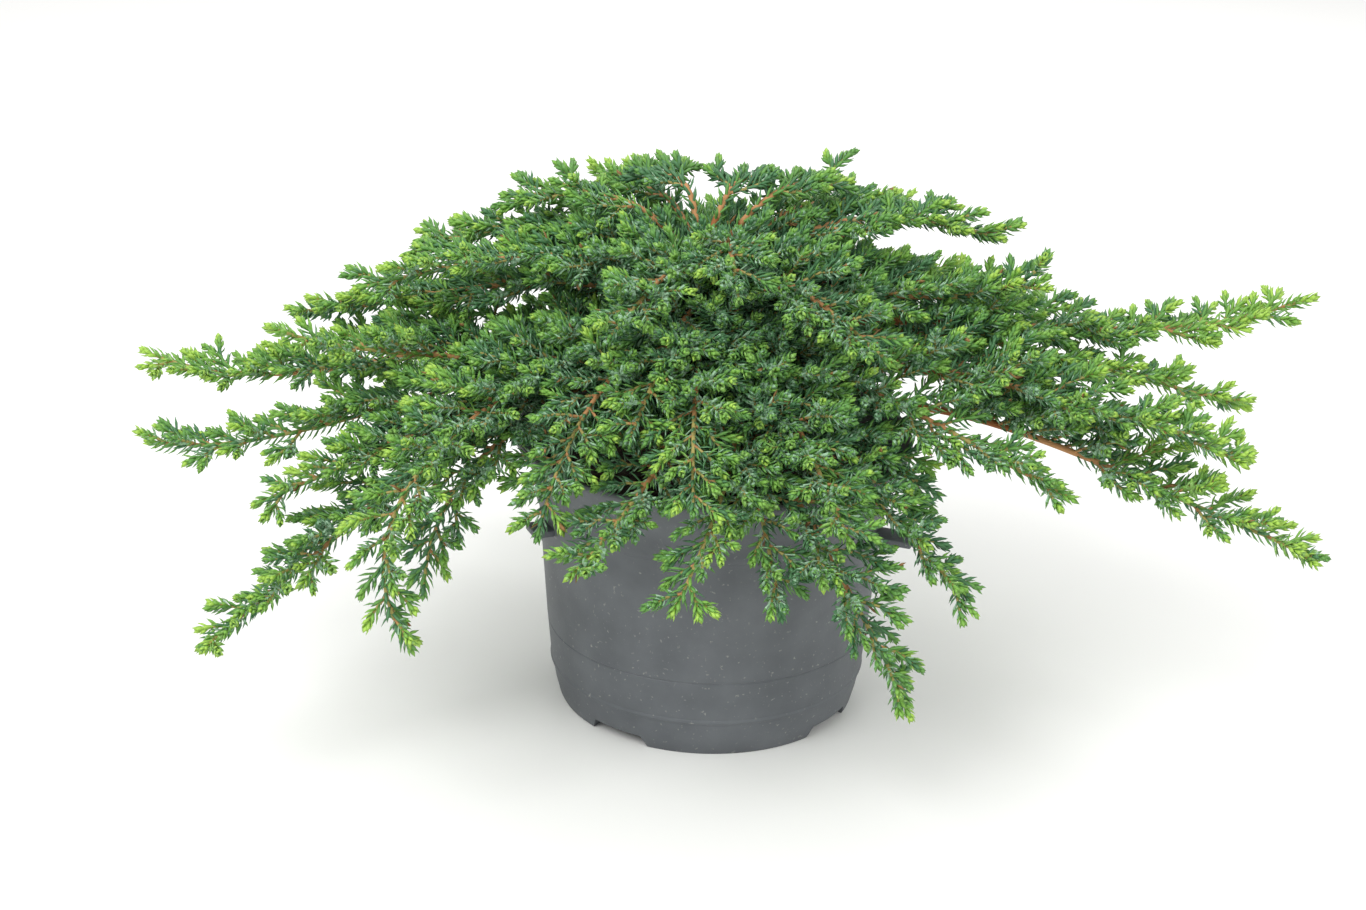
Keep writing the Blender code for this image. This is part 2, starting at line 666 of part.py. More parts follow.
def pot_profile() -> list[tuple[float, float]]:
    """Return the pot's half section, up its inside from the axis and down its outside."""
    ridge = 0.9 * MM
    collar = 93 * MM
    outside = [
        (POT_RIM_RADIUS - 1.0 * MM, POT_HEIGHT),
        (POT_RIM_RADIUS, POT_HEIGHT - 1.6 * MM),
        (POT_RIM_RADIUS - 0.6 * MM, POT_HEIGHT - 3.8 * MM),
        (POT_RIM_RADIUS - 4.6 * MM, POT_HEIGHT - 10 * MM),
        (POT_RIDGE_RADIUS + 0.5 * MM, collar),
        (POT_RIDGE_RADIUS, POT_RIDGE_HEIGHT + ridge),
        (POT_RIDGE_RADIUS - ridge, POT_RIDGE_HEIGHT),
        (POT_SEAM_RADIUS, POT_SEAM_HEIGHT),
        (POT_SEAM_RADIUS - 1.6 * MM, POT_SEAM_HEIGHT * 0.5),
        (POT_FOOT_RADIUS, 0.0),
    ]
    floor = FOOT_HEIGHT + POT_WALL
    inside = [
        (0.0, floor),
        (POT_SEAM_RADIUS - 1.8 * POT_WALL, floor),
        (POT_SEAM_RADIUS - POT_WALL, POT_SEAM_HEIGHT),
        (POT_RIDGE_RADIUS - ridge - POT_WALL, POT_RIDGE_HEIGHT),
        (POT_RIDGE_RADIUS + 0.5 * MM - POT_WALL, collar),
        (POT_RIM_RADIUS - 4.6 * MM - POT_WALL, POT_HEIGHT - 10 * MM),
        (POT_RIM_RADIUS - 1.2 * MM - POT_WALL, POT_HEIGHT - 3 * MM),
        (POT_RIM_RADIUS - 1.0 * MM - POT_WALL, POT_HEIGHT),
    ]
    under = [
        (POT_FOOT_RADIUS - FOOT_RING_WIDTH, 0.0),
        (POT_FOOT_RADIUS - FOOT_RING_WIDTH, FOOT_HEIGHT),
        (PAD_RADIUS + 2 * MM, FOOT_HEIGHT),
        (PAD_RADIUS, 0.0),
        (0.0, 0.0),
    ]
    return inside + outside + under


def turned(name: str, home: bpy.types.Collection, profile: list[tuple[float, float]],
           steps: int) -> bpy.types.Object:
    """Return the solid that a half section makes when it is turned about Z."""
    mesh = bmesh.new()
    verts = [mesh.verts.new((radius, 0.0, height)) for radius, height in profile]
    for first, second in zip(verts, verts[1:]):
        mesh.edges.new((first, second))
    solid = solid_from(mesh, name, home)
    screw = solid.modifiers.new("Turn", "SCREW")
    screw.steps = steps
    screw.render_steps = steps
    screw.use_merge_vertices = True
    screw.merge_threshold = MERGE
    bpy.context.view_layer.update()
    bake(solid)
    return solid


class Pot:
    """A round nursery pot: tapering wall, ridge, flared rim, ring foot cut into four feet, two tabs."""

    def build(self, home: bpy.types.Collection, cutters: bpy.types.Collection) -> bpy.types.Object:
        """Return the pot as a solid."""
        pot = turned("pot", home, pot_profile(), POT_STEPS)
        for number, (azimuth, length) in enumerate(TABS):
            self.combine(pot, self.tab(cutters, number, azimuth, length), "UNION")
        for number, azimuth in enumerate(FOOT_GAP_AZIMUTHS):
            self.combine(pot, self.foot_gap(cutters, number, azimuth), "DIFFERENCE")
        dress(pot, Finish.POT, smooth=True)
        return pot

    def tab(self, cutters: bpy.types.Collection, number: int, azimuth: float,
            length: float) -> bpy.types.Object:
        """Return one tab, its root sunk in the wall."""
        mesh = bmesh.new()
        bmesh.ops.create_cube(mesh, size=1.0)
        bmesh.ops.scale(mesh, vec=(length, TAB_WIDTH, TAB_THICKNESS), verts=mesh.verts)
        sunk = POT_RIDGE_RADIUS - POT_WALL + length / 2
        bmesh.ops.translate(mesh, vec=(sunk, 0.0, TAB_HEIGHT), verts=mesh.verts)
        bmesh.ops.rotate(mesh, matrix=Matrix.Rotation(math.radians(azimuth), 3, "Z"), verts=mesh.verts)
        return self.hidden(solid_from(mesh, f"tab_{number}", cutters))

    def foot_gap(self, cutters: bpy.types.Collection, number: int, azimuth: float) -> bpy.types.Object:
        """Return the cutter of one gap between two feet, narrower at its top."""
        mesh = bmesh.new()
        bmesh.ops.create_cube(mesh, size=1.0)
        depth = 4 * FOOT_RING_WIDTH
        bmesh.ops.scale(mesh, vec=(depth, FOOT_GAP_WIDTH, 2 * FOOT_HEIGHT - 0.4 * MM), verts=mesh.verts)
        for vert in mesh.verts:
            vert.co.y *= 0.84 if vert.co.z > 0 else 1.2
        bmesh.ops.translate(mesh, vec=(POT_FOOT_RADIUS, 0.0, 0.0), verts=mesh.verts)
        bmesh.ops.rotate(mesh, matrix=Matrix.Rotation(math.radians(azimuth), 3, "Z"), verts=mesh.verts)
        return self.hidden(solid_from(mesh, f"foot_gap_{number}", cutters))

    @staticmethod
    def hidden(cutter: bpy.types.Object) -> bpy.types.Object:
        """Mark an object as a guide that is no part of the model."""
        cutter.hide_render = True
        cutter.display_type = "WIRE"
        return cutter

    @staticmethod
    def combine(pot: bpy.types.Object, other: bpy.types.Object, operation: str) -> None:
        """Join or cut the pot with another solid, and remove that one."""
        change = pot.modifiers.new(operation.title(), "BOOLEAN")
        change.operation = operation
        change.object = other
        bpy.context.view_layer.update()
        bake(pot)
        bpy.data.objects.remove(other)


class Soil:
    """The growing medium that fills the pot to below its rim, flat about the trunk and rough outside."""

    steps: int = 20

    def build(self, home: bpy.types.Collection) -> bpy.types.Object:
        """Return the growing medium as a solid."""
        fit = POT_WALL + GAP
        floor = FOOT_HEIGHT + fit
        profile = [
            (0.0, SOIL_HEIGHT),
            (14 * MM, SOIL_HEIGHT),
            (30 * MM, SOIL_HEIGHT - 0.6 * MM),
            (48 * MM, SOIL_HEIGHT - 1.6 * MM),
            (POT_RIDGE_RADIUS - fit - 1.4 * MM, SOIL_HEIGHT - 3.4 * MM),
            (POT_RIDGE_RADIUS - fit - 1.4 * MM, POT_RIDGE_HEIGHT),
            (POT_SEAM_RADIUS - fit - 0.4 * MM, POT_SEAM_HEIGHT),
            (POT_SEAM_RADIUS - fit - 2.4 * MM, floor),
            (0.0, floor),
        ]
        soil = turned("growing_medium", home, profile, self.steps)
        chance = random.Random(SEED)
        for vert in soil.data.vertices:
            spread = math.hypot(vert.co.x, vert.co.y)
            if vert.co.z > POT_RIDGE_HEIGHT + 4 * MM and 20 * MM < spread < 56 * MM:
                vert.co.z += chance.uniform(-1, 0.4) * SOIL_ROUGHNESS
        dress(soil, Finish.SOIL, smooth=False)
        return soil


class Plant:
    """The juniper: its trunk, its limbs in the order in which they take their space, and its foliage."""

    def __init__(self) -> None:
        """Lay out the trunk, the pot and the limbs in space."""
        self.room = Room()
        chance = random.Random(SEED)
        plans = (*FRONT_LIMBS, *far_limbs(chance))
        self.limbs = [self.settle(plan, number) for number, plan in enumerate(plans)]
        for order in range(SHOOT_ORDERS):
            for limb in self.limbs:
                limb.try_shoot(order, self.room)

    def settle(self, plan: LimbPlan, number: int) -> Limb:
        """Return a plan's limb, moved up or down at the trunk until it is clear of the others.

        Args:
            plan: the limb's sizes.
            number: its place in the order, which also seeds it.

        Returns:
            The limb with the most space about it among the places tried.
        """
        best = None
        most = -math.inf
        shifts = product(TURN_SHIFTS, SWEEP_SHIFTS, CREST_SHIFTS, START_SHIFTS)
        for turn, sweep, rise, shift in sorted(shifts, key=effort):
            start = plan.start + shift
            if not SOIL_HEIGHT / MM + 9 < start < TRUNK_TIP.z / MM - 3:
                continue
            moved = replace(plan, azimuth=plan.azimuth + turn, sweep=plan.sweep + sweep,
                            crest=plan.crest + rise, start=start)
            limb = Limb.grow(moved, number)
            space = limb.clear_of(self.room)
            if space > most:
                best, most = limb, space
            if most > 0:
                break
        best.occupy(self.room)
        return best

    @staticmethod
    def build_trunk(home: bpy.types.Collection) -> bpy.types.Object:
        """Return the trunk as a solid, started below ground level and cut flat there."""
        steps = 9
        shares = [-0.08] + [index / steps for index in range(steps + 1)]
        spine = [(trunk_point(share), trunk_radius(max(share, 0.0))) for share in shares]
        trunk = tube("trunk", home, spine)
        mesh = bmesh.new()
        mesh.from_mesh(trunk.data)
        everything = mesh.verts[:] + mesh.edges[:] + mesh.faces[:]
        bmesh.ops.bisect_plane(mesh, geom=everything, plane_co=TRUNK_FOOT, plane_no=(0, 0, 1),
                               clear_inner=True)
        bmesh.ops.holes_fill(mesh, edges=[edge for edge in mesh.edges if edge.is_boundary])
        bmesh.ops.recalc_face_normals(mesh, faces=mesh.faces)
        mesh.to_mesh(trunk.data)
        mesh.free()
        return trunk

    def build(self, home: bpy.types.Collection, loose: bpy.types.Collection) -> None:
        """Build the trunk, the boughs and the masses of foliage."""
        dress(self.build_trunk(home), Finish.BARK, smooth=True)
        for limb in self.limbs:
            if limb.plan.bough:
                dress(limb.build_bough(home), Finish.TWIG, smooth=True)
            dress(limb.build_mass(home, loose), Finish.NEEDLES, smooth=False)


def collection(name: str) -> bpy.types.Collection:
    """Return a new collection in the scene."""
    found = bpy.data.collections.new(name)
    bpy.context.scene.collection.children.link(found)
    return found


def main() -> None:
    """Clear the scene and build the potted plant."""
    for old in list(bpy.data.objects):
        bpy.data.objects.remove(old)
    home = collection("potted_juniper")
    cutters = collection("cutters")
    loose = collection("loose_shoots")
    Pot().build(home, cutters)
    Soil().build(home)
    Plant().build(home, loose)


main()
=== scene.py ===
"""Dressing of the potted common juniper of a creeping habit.

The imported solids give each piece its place. The limbs are laid out here by the same rule and seeds as
the solids, so that every bough and stem runs where its solid does; each then gets finer side shoots,
shoots on those, and needles in whorls of three. Units are metres with +Z up, and -Y is the front.
"""
from __future__ import annotations

import logging
import math
import random
from dataclasses import dataclass, field, replace
from enum import Enum
from itertools import product

import bmesh
import bpy
import numpy as np
from mathutils import Matrix, Vector, noise

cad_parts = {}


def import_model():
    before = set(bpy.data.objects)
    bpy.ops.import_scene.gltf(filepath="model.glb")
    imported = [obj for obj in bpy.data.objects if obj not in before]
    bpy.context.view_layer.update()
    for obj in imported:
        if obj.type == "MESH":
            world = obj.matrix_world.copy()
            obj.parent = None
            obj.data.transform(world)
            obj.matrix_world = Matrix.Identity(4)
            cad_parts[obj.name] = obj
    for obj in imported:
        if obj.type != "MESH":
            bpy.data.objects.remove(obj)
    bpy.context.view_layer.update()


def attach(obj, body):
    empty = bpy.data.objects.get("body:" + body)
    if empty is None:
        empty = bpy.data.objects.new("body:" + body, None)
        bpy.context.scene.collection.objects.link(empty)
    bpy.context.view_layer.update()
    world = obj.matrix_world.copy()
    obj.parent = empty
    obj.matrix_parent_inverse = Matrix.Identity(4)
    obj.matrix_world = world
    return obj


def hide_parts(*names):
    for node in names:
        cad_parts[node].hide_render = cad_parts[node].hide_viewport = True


LOG = logging.getLogger("potted_juniper")
MM = 0.001
# The least space between two solids, and the seed that they were laid out with
GAP = 0.3 * MM
SEED = 41
# The side shoots of each limb, and the crumbs on the medium, have their own chances
SHOOT_SEED = SEED + 1000
CRUMB_SEED = SEED + 5
UP = Vector((0.0, 0.0, 1.0))
# A direction that no limb runs along, which the first frame of a line is turned from
ASKEW = (0.31, 0.17, 0.93)


def linear(colour: str) -> tuple[float, float, float, float]:
    """Turn an sRGB hex colour to linear light.

    Args:
        colour: six hex digits after a hash sign.

    Returns:
        Red, green, blue and an alpha of 1.
    """
    parts = [int(colour[start:start + 2], 16) / 255 for start in (1, 3, 5)]
    light = [part / 12.92 if part <= 0.04045 else ((part + 0.055) / 1.055) ** 2.4 for part in parts]
    return (light[0], light[1], light[2], 1.0)


def add_node(tree: bpy.types.NodeTree, kind: str, settings: dict | None = None,
             links: dict | None = None) -> bpy.types.Node:
    """Add one node to a material.

    Args:
        tree: the material's nodes.
        kind: the node's type.
        settings: values by the name or number of an input, or by the name of the node's own setting;
            stops are a colour ramp's places with their hex colours.
        links: for an input, the node and the output that feed it.

    Returns:
        The new node.
    """
    node = tree.nodes.new(kind)
    for key, value in (settings or {}).items():
        if key == "stops":
            points = node.color_ramp.elements
            while len(points) < len(value):
                points.new(0.5)
            for point, (place, colour) in zip(points, value):
                point.position = place
                point.color = linear(colour)
        elif isinstance(key, str) and hasattr(node, key):
            setattr(node, key, value)
        else:
            node.inputs[key].default_value = value
    for key, (source, output) in (links or {}).items():
        tree.links.new(source.outputs[output], node.inputs[key])
    return node


def blank_material(name: str) -> tuple[bpy.types.Material, bpy.types.Node]:
    """Start a material.

    Args:
        name: its name.

    Returns:
        The new material and its shader node.
    """
    material = bpy.data.materials.new(name)
    material.use_nodes = True
    return material, material.node_tree.nodes["Principled BSDF"]


@dataclass(frozen=True)
class MouldedPolypropylene:
    """Recycled polypropylene, injection moulded: matt dark grey with a faint grain and dust on it.

    Clouds are where the recycled melt flowed unevenly, some 20 mm across. Specks are dust and splashed
    soil. Grain is the texture of the mould, drawn a little coarser than it is so that it shows.
    """

    name: str = "moulded_polypropylene"
    body: str = "#515559"
    worn: str = "#616569"
    dust: str = "#8e8f8b"
    cloud_size: float = 20 * MM
    speck_size: float = 1.6 * MM
    speck_edge: tuple[float, float] = (0.66, 0.76)
    dust_cover: float = 0.75
    grain_size: float = 0.7 * MM
    grain_depth: float = 0.3 * MM
    grain_strength: float = 0.25
    roughness: float = 0.56
    ior: float = 1.49

    def build(self) -> bpy.types.Material:
        """Make the material.

        Returns:
            Grey that varies softly, with light specks, whose grain keeps its highlight wide and soft.
        """
        material, shader = blank_material(self.name)
        tree = material.node_tree
        place = add_node(tree, "ShaderNodeTexCoord")
        clouds = add_node(tree, "ShaderNodeTexNoise", {"Scale": 1 / self.cloud_size, "Detail": 4.0},
                          {"Vector": (place, "Object")})
        tone = add_node(tree, "ShaderNodeValToRGB", {"stops": [(0.32, self.body), (0.72, self.worn)]},
                        {"Fac": (clouds, "Fac")})
        specks = add_node(tree, "ShaderNodeTexNoise", {"Scale": 1 / self.speck_size, "Detail": 2.0},
                          {"Vector": (place, "Object")})
        low, high = self.speck_edge
        where = add_node(tree, "ShaderNodeMapRange",
                         {"From Min": low, "From Max": high, "To Max": self.dust_cover},
                         {"Value": (specks, "Fac")})
        dusted = add_node(tree, "ShaderNodeMix", {"data_type": "RGBA", 7: linear(self.dust)},
                          {0: (where, "Result"), 6: (tone, "Color")})
        tree.links.new(dusted.outputs[2], shader.inputs["Base Color"])
        fine = add_node(tree, "ShaderNodeTexNoise", {"Scale": 1 / self.grain_size, "Detail": 3.0},
                        {"Vector": (place, "Object")})
        bump = add_node(tree, "ShaderNodeBump",
                        {"Strength": self.grain_strength, "Distance": self.grain_depth},
                        {"Height": (fine, "Fac")})
        tree.links.new(bump.outputs["Normal"], shader.inputs["Normal"])
        shader.inputs["Roughness"].default_value = self.roughness
        shader.inputs["IOR"].default_value = self.ior
        return material


@dataclass(frozen=True)
class DampPeat:
    """Potting medium of sieved damp peat and bark fines: nearly black hollows with painted shade, brown
    crumbs, no gloss.
    """

    name: str = "damp_peat"
    shaded_hollow: str = "#241b15"
    crumb: str = "#4d3b2c"
    grit_size: float = 2.2 * MM
    grit_depth: float = 1 * MM
    grit_strength: float = 0.7
    roughness: float = 0.93

    def build(self) -> bpy.types.Material:
        """Make the material.

        Returns:
            Brown whose colour and bump vary together, at the size of its crumbs, darkest in the low hollows
            as painted shade.
        """
        material, shader = blank_material(self.name)
        tree = material.node_tree
        place = add_node(tree, "ShaderNodeTexCoord")
        grains = add_node(tree, "ShaderNodeTexNoise", {"Scale": 1 / self.grit_size, "Detail": 5.0},
                          {"Vector": (place, "Object")})
        # Painted shade: the darkest colour falls where the same noise sets the bump lowest, in the hollows.
        tone = add_node(tree, "ShaderNodeValToRGB", {"stops": [(0.35, self.shaded_hollow), (0.7, self.crumb)]},
                        {"Fac": (grains, "Fac")})
        tree.links.new(tone.outputs["Color"], shader.inputs["Base Color"])
        bump = add_node(tree, "ShaderNodeBump",
                        {"Strength": self.grit_strength, "Distance": self.grit_depth},
                        {"Height": (grains, "Fac")})
        tree.links.new(bump.outputs["Normal"], shader.inputs["Normal"])
        shader.inputs["Roughness"].default_value = self.roughness
        return material


@dataclass(frozen=True)
class PeelingBark:
    """Juniper bark, grown and weathered: thin strips that peel along the limb, dry and without gloss.

    Strand is the width of one strip, and stretch is that width as a share of its length.
    """

    name: str
    shaded_fissure: str
    strip: str
    fresh: str
    strand: float
    stretch: float = 0.3
    depth: float = 0.5 * MM
    strength: float = 0.6
    roughness: float = 0.82

    def build(self) -> bpy.types.Material:
        """Make the material.

        Returns:
            Strips drawn out along Z, dark in the fissures, the bark's own colour with painted shade, and
            lighter where fresh bark shows.
        """
        material, shader = blank_material(self.name)
        tree = material.node_tree
        place = add_node(tree, "ShaderNodeTexCoord")
        drawn = add_node(tree, "ShaderNodeMapping", {"Scale": (1.0, 1.0, self.stretch)},
                         {"Vector": (place, "Object")})
        strips = add_node(tree, "ShaderNodeTexNoise",
                          {"Scale": 1 / self.strand, "Detail": 5.0, "Roughness": 0.6},
                          {"Vector": (drawn, "Vector")})
        # Painted shade, with the bark's own darker colour: the fissure colour falls where the same noise
        # sets the bump lowest.
        stops = [(0.3, self.shaded_fissure), (0.52, self.strip), (0.72, self.fresh)]
        tone = add_node(tree, "ShaderNodeValToRGB", {"stops": stops}, {"Fac": (strips, "Fac")})
        tree.links.new(tone.outputs["Color"], shader.inputs["Base Color"])
        bump = add_node(tree, "ShaderNodeBump", {"Strength": self.strength, "Distance": self.depth},
                        {"Height": (strips, "Fac")})
        tree.links.new(bump.outputs["Normal"], shader.inputs["Normal"])
        shader.inputs["Roughness"].default_value = self.roughness
        return material


@dataclass(frozen=True)
class PlainSkin:
    """A needle's waxy cuticle or a young twig's skin: one plain colour with a soft low gloss.

    A needle is too small for a pattern to show on it, so its colour stays plain on the shader, where
    the export keeps it. The differences in colour come from the shoots, each with its own tone.
    """

    name: str
    colour: str
    roughness: float
    ior: float = 1.45
    specular: float = 0.35

    def build(self) -> bpy.types.Material:
        """Make the material.

        Returns:
            The plain material.
        """
        material, shader = blank_material(self.name)
        shader.inputs["Base Color"].default_value = linear(self.colour)
        shader.inputs["Roughness"].default_value = self.roughness
        shader.inputs["IOR"].default_value = self.ior
        shader.inputs["Specular IOR Level"].default_value = self.specular
        return material


class NeedleTone(Enum):
    """The needles' colours, from the painted shade of the heart to the new tips, and those of the pale
    upper bands.
    """

    DEEP = PlainSkin("needle_deep", "#406848", 0.50)
    BLUE = PlainSkin("needle_blue", "#507e54", 0.50)
    MID = PlainSkin("needle_mid", "#65974c", 0.48)
    FRESH = PlainSkin("needle_fresh", "#7bac4c", 0.46)
    LIME = PlainSkin("needle_lime", "#a2c956", 0.44)
    DRY = PlainSkin("needle_dry", "#8c6a42", 0.70)
    PALE_BAND = PlainSkin("needle_pale_band", "#a6cbaa", 0.62)
    GREEN_BAND = PlainSkin("needle_green_band", "#a3cd7a", 0.55)

    @property
    def place(self) -> int:
        """The tone's place among a needle piece's materials."""
        return list(NeedleTone).index(self)


class TwigTone(Enum):
    """The skins of stems and shoots, from old and brown to this year's green."""

    OLD = PlainSkin("twig_old", "#9a6038", 0.74)
    ORANGE = PlainSkin("twig_orange", "#b9875a", 0.68)
    TAN = PlainSkin("twig_tan", "#a89a5c", 0.62)
    GREEN = PlainSkin("twig_green", "#83a152", 0.55)

    @property
    def place(self) -> int:
        """The tone's place among a twig piece's materials."""
        return list(TwigTone).index(self)


class Region(Enum):
    """The parts of the plant whose twigs and needles are joined, by how their limbs' names begin."""

    RIGHT = "right"
    FRONT = "front"
    LEFT = "left"
    PEAK = "peak"
    FAR = "far"


@dataclass(frozen=True)
class PotForm:
    """The pot's main sizes, which its pieces and the free space about it share."""

    height: float = 112 * MM
    foot_radius: float = 58.8 * MM
    seam_radius: float = 62.8 * MM
    seam_height: float = 15 * MM
    ridge_radius: float = 69.3 * MM
    ridge_height: float = 84 * MM
    collar_height: float = 9 * MM
    rim_radius: float = 78 * MM
    rim_inset: float = 1 * MM
    wall: float = 1.9 * MM
    medium_height: float = 97 * MM

    def wall_radius(self, heights: np.ndarray) -> np.ndarray:
        """Find the middle of the pot's wall.

        Args:
            heights: heights above the ground.

        Returns:
            The radius of the wall's middle at each height.
        """
        marks = [0.0, self.seam_height, self.ridge_height, self.ridge_height + self.collar_height,
                 self.height]
        radii = [self.foot_radius, self.seam_radius, self.ridge_radius, self.ridge_radius,
                 self.rim_radius - self.rim_inset]
        return np.interp(heights, marks, radii) - self.wall / 2


POT = PotForm()


@dataclass(frozen=True)
class TrunkForm:
    """The trunk: where it stands and leans to, how it bows, its taper and its root flare."""

    foot: Vector = field(default_factory=lambda: Vector((4 * MM, -2 * MM, POT.medium_height + GAP)))
    tip: Vector = field(default_factory=lambda: Vector((-10 * MM, 6 * MM, 188 * MM)))
    bow: float = 6 * MM
    radius: float = 6.2 * MM
    flare: float = 3.2 * MM
    flare_fall: float = 14.0
    tip_radius: float = 2.3 * MM

    def point(self, share: float) -> Vector:
        """Find the trunk's middle line.

        Args:
            share: how far up the trunk, from 0 to 1.

        Returns:
            The middle there.
        """
        point = self.foot.lerp(self.tip, share)
        point.x += self.bow * math.sin(math.pi * share)
        return point

    def girth(self, share: float) -> float:
        """Return the trunk's radius at a share of its height."""
        taper = self.radius + (self.tip_radius - self.radius) * share
        return taper + self.flare * math.exp(-share * self.flare_fall)


TRUNK = TrunkForm()


@dataclass(frozen=True)
class LimbForm:
    """The sizes that all limbs share."""

    bough_base: float = 2.5 * MM
    bough_tip: float = 1.7 * MM
    stem: float = 1.6 * MM
    needle_reach: float = 6.0 * MM
    leafy_share: float = 0.26
    root_length: float = 6 * MM
    crest_place: float = 0.36


LIMB = LimbForm()


def polar(radius: float, degrees: float, height: float) -> Vector:
    """Return the point at a radius and azimuth about Z, at a height."""
    angle = math.radians(degrees)
    return Vector((radius * math.cos(angle), radius * math.sin(angle), height))


@dataclass(frozen=True)
class LimbPlan:
    """One main limb: where its tip is, and the arch that takes it there.

    Heights and lengths are in millimetres and angles in degrees. Azimuth 0 is +X and 90 is +Y, the
    far side. The limb leaves the trunk at the height start, heads for the height crest at a third of
    its reach, swept aside by sweep, and comes to its tip from knee, a share of its reach, at a
    height above the tip of lift. Bough is the share of it that is bare bough; a limb with none has
    foliage from the trunk on.
    """

    name: str
    azimuth: float
    reach: float
    tip: float
    crest: float
    knee: float
    lift: float
    sweep: float
    start: float
    bough: float = 0.0


FRONT_LIMBS = (
    LimbPlan("right_high", 9, 236, 160, 170, 0.70, -24, 6, 150, 0.32),
    LimbPlan("right_upper", -2, 206, 130, 166, 0.68, 14, -8, 140),
    LimbPlan("right_middle", -13, 204, 124, 166, 0.68, 16, 8, 127, 0.30),
    LimbPlan("right_low", -15, 233, 92, 150, 0.66, 16, -10, 115, 0.34),
    LimbPlan("right_front", -30, 150, 118, 160, 0.68, 14, 6, 133),
    LimbPlan("front_right", -44, 130, 84, 150, 0.68, 30, 20, 121),
    LimbPlan("front_sill_left", -136, 98, 108, 146, 0.75, 26, 0, 112),
    LimbPlan("front_sill_right", -36, 100, 106, 144, 0.75, 26, 0, 109),
    LimbPlan("front_hanging", -57, 131, 52, 150, 0.85, 50, 30, 111, 0.30),
    LimbPlan("front_mid_right", -66, 118, 112, 165, 0.72, 20, 0, 143),
    LimbPlan("front_lower_right", -76, 104, 80, 156, 0.90, 44, 12, 126),
    LimbPlan("front_middle", -97, 114, 86, 165, 0.85, 40, -34, 137),
    LimbPlan("front_mid_left", -94, 108, 122, 178, 0.75, 24, 8, 152),
    LimbPlan("front_face_left", -110, 92, 140, 186, 0.70, 14, 0, 158),
    LimbPlan("front_low", -113, 128, 101, 146, 0.68, 10, -14, 118),
    LimbPlan("front_left", -122, 118, 108, 180, 0.80, 36, 10, 129),
    LimbPlan("left_hanging", -134, 153, 67, 165, 1.22, 66, 26, 141),
    LimbPlan("left_shaded", -143, 132, 74, 150, 0.95, 60, 12, 110),
    LimbPlan("left_front", -154, 207, 56, 165, 0.66, 34, 12, 124, 0.34),
    LimbPlan("left_low", -160, 180, 101, 160, 0.70, 18, -6, 114),
    LimbPlan("left_middle", -173, 217, 110, 160, 0.70, -10, -4, 134),
    LimbPlan("left_upper", 177, 225, 133, 166, 0.70, -30, 4, 148, 0.34),
    LimbPlan("left_upright", -166, 170, 163, 150, 0.75, -25, 6, 120),
    LimbPlan("left_top", 172, 168, 146, 185, 0.68, 10, -8, 157),
    LimbPlan("left_crown", -172, 137, 172, 196, 0.68, 8, 4, 163),
    LimbPlan("left_peak", 161, 127, 171, 200, 0.68, 10, 6, 167),
    LimbPlan("peak_left", 155, 94, 193, 211, 0.66, 4, 0, 172),
    LimbPlan("peak_middle", 124, 48, 205, 214, 0.70, 0, 0, 181),
    LimbPlan("peak_far_left", 120, 94, 187, 209, 0.68, 6, 0, 174),
    LimbPlan("peak_right", 78, 42, 206, 212, 0.70, -6, 0, 184),
    LimbPlan("peak_far", 40, 66, 201, 213, 0.68, 4, 0, 178),
    LimbPlan("peak_far_right", 48, 108, 181, 206, 0.68, 8, 0, 170),
    LimbPlan("right_peak", 19, 118, 182, 208, 0.68, 10, 0, 169),
    LimbPlan("right_crown", -2, 124, 189, 180, 0.90, -34, 0, 161),
    LimbPlan("front_crown_left", -120, 80, 172, 200, 0.68, 8, 0, 165),
    LimbPlan("front_crown_middle", -84, 62, 186, 210, 0.68, 6, 0, 173),
    LimbPlan("front_crown_right", -48, 92, 166, 196, 0.68, 8, 0, 160),
    LimbPlan("front_inner_middle", -86, 58, 152, 178, 0.75, 10, 0, 150),
)


@dataclass(frozen=True)
class FarSide:
    """The side that the front view hides, in the same habit: long low limbs and short high ones by turns.

    Long and short give the reach, tip, crest and start of a limb, in millimetres, and each slack is
    how far a limb may differ from them, either way.
    """

    limbs: int = 10
    first_azimuth: float = 25
    azimuth_step: float = 14.6
    bough_every: int = 4
    bough_share: float = 0.32
    knee: float = 0.70
    long: tuple[float, ...] = (188, 104, 158, 122)
    short: tuple[float, ...] = (138, 142, 180, 146)
    azimuth_slack: float = 4
    reach_slack: float = 18
    tip_slack: float = 16
    crest_slack: float = 6
    lift: tuple[float, float] = (-16, 20)
    sweep_slack: float = 12
    start_slack: float = 8

    def plans(self, chance: random.Random) -> list[LimbPlan]:
        """Plan the far limbs.

        Args:
            chance: the seeded source of their small differences.

        Returns:
            One plan for each limb, long and short by turns.
        """
        def about(middle: float, slack: float) -> float:
            """Return a number near the middle one."""
            return middle + chance.uniform(-slack, slack)

        found = []
        for number in range(self.limbs):
            reach, tip, crest, start = self.short if number % 2 else self.long
            found.append(LimbPlan(
                name=f"far_{number + 1}",
                azimuth=about(self.first_azimuth + number * self.azimuth_step, self.azimuth_slack),
                reach=about(reach, self.reach_slack),
                tip=about(tip, self.tip_slack),
                crest=about(crest, self.crest_slack),
                knee=self.knee,
                lift=chance.uniform(*self.lift),
                sweep=about(0.0, self.sweep_slack),
                start=about(start, self.start_slack),
                bough=0.0 if number % self.bough_every else self.bough_share,
            ))
        return found


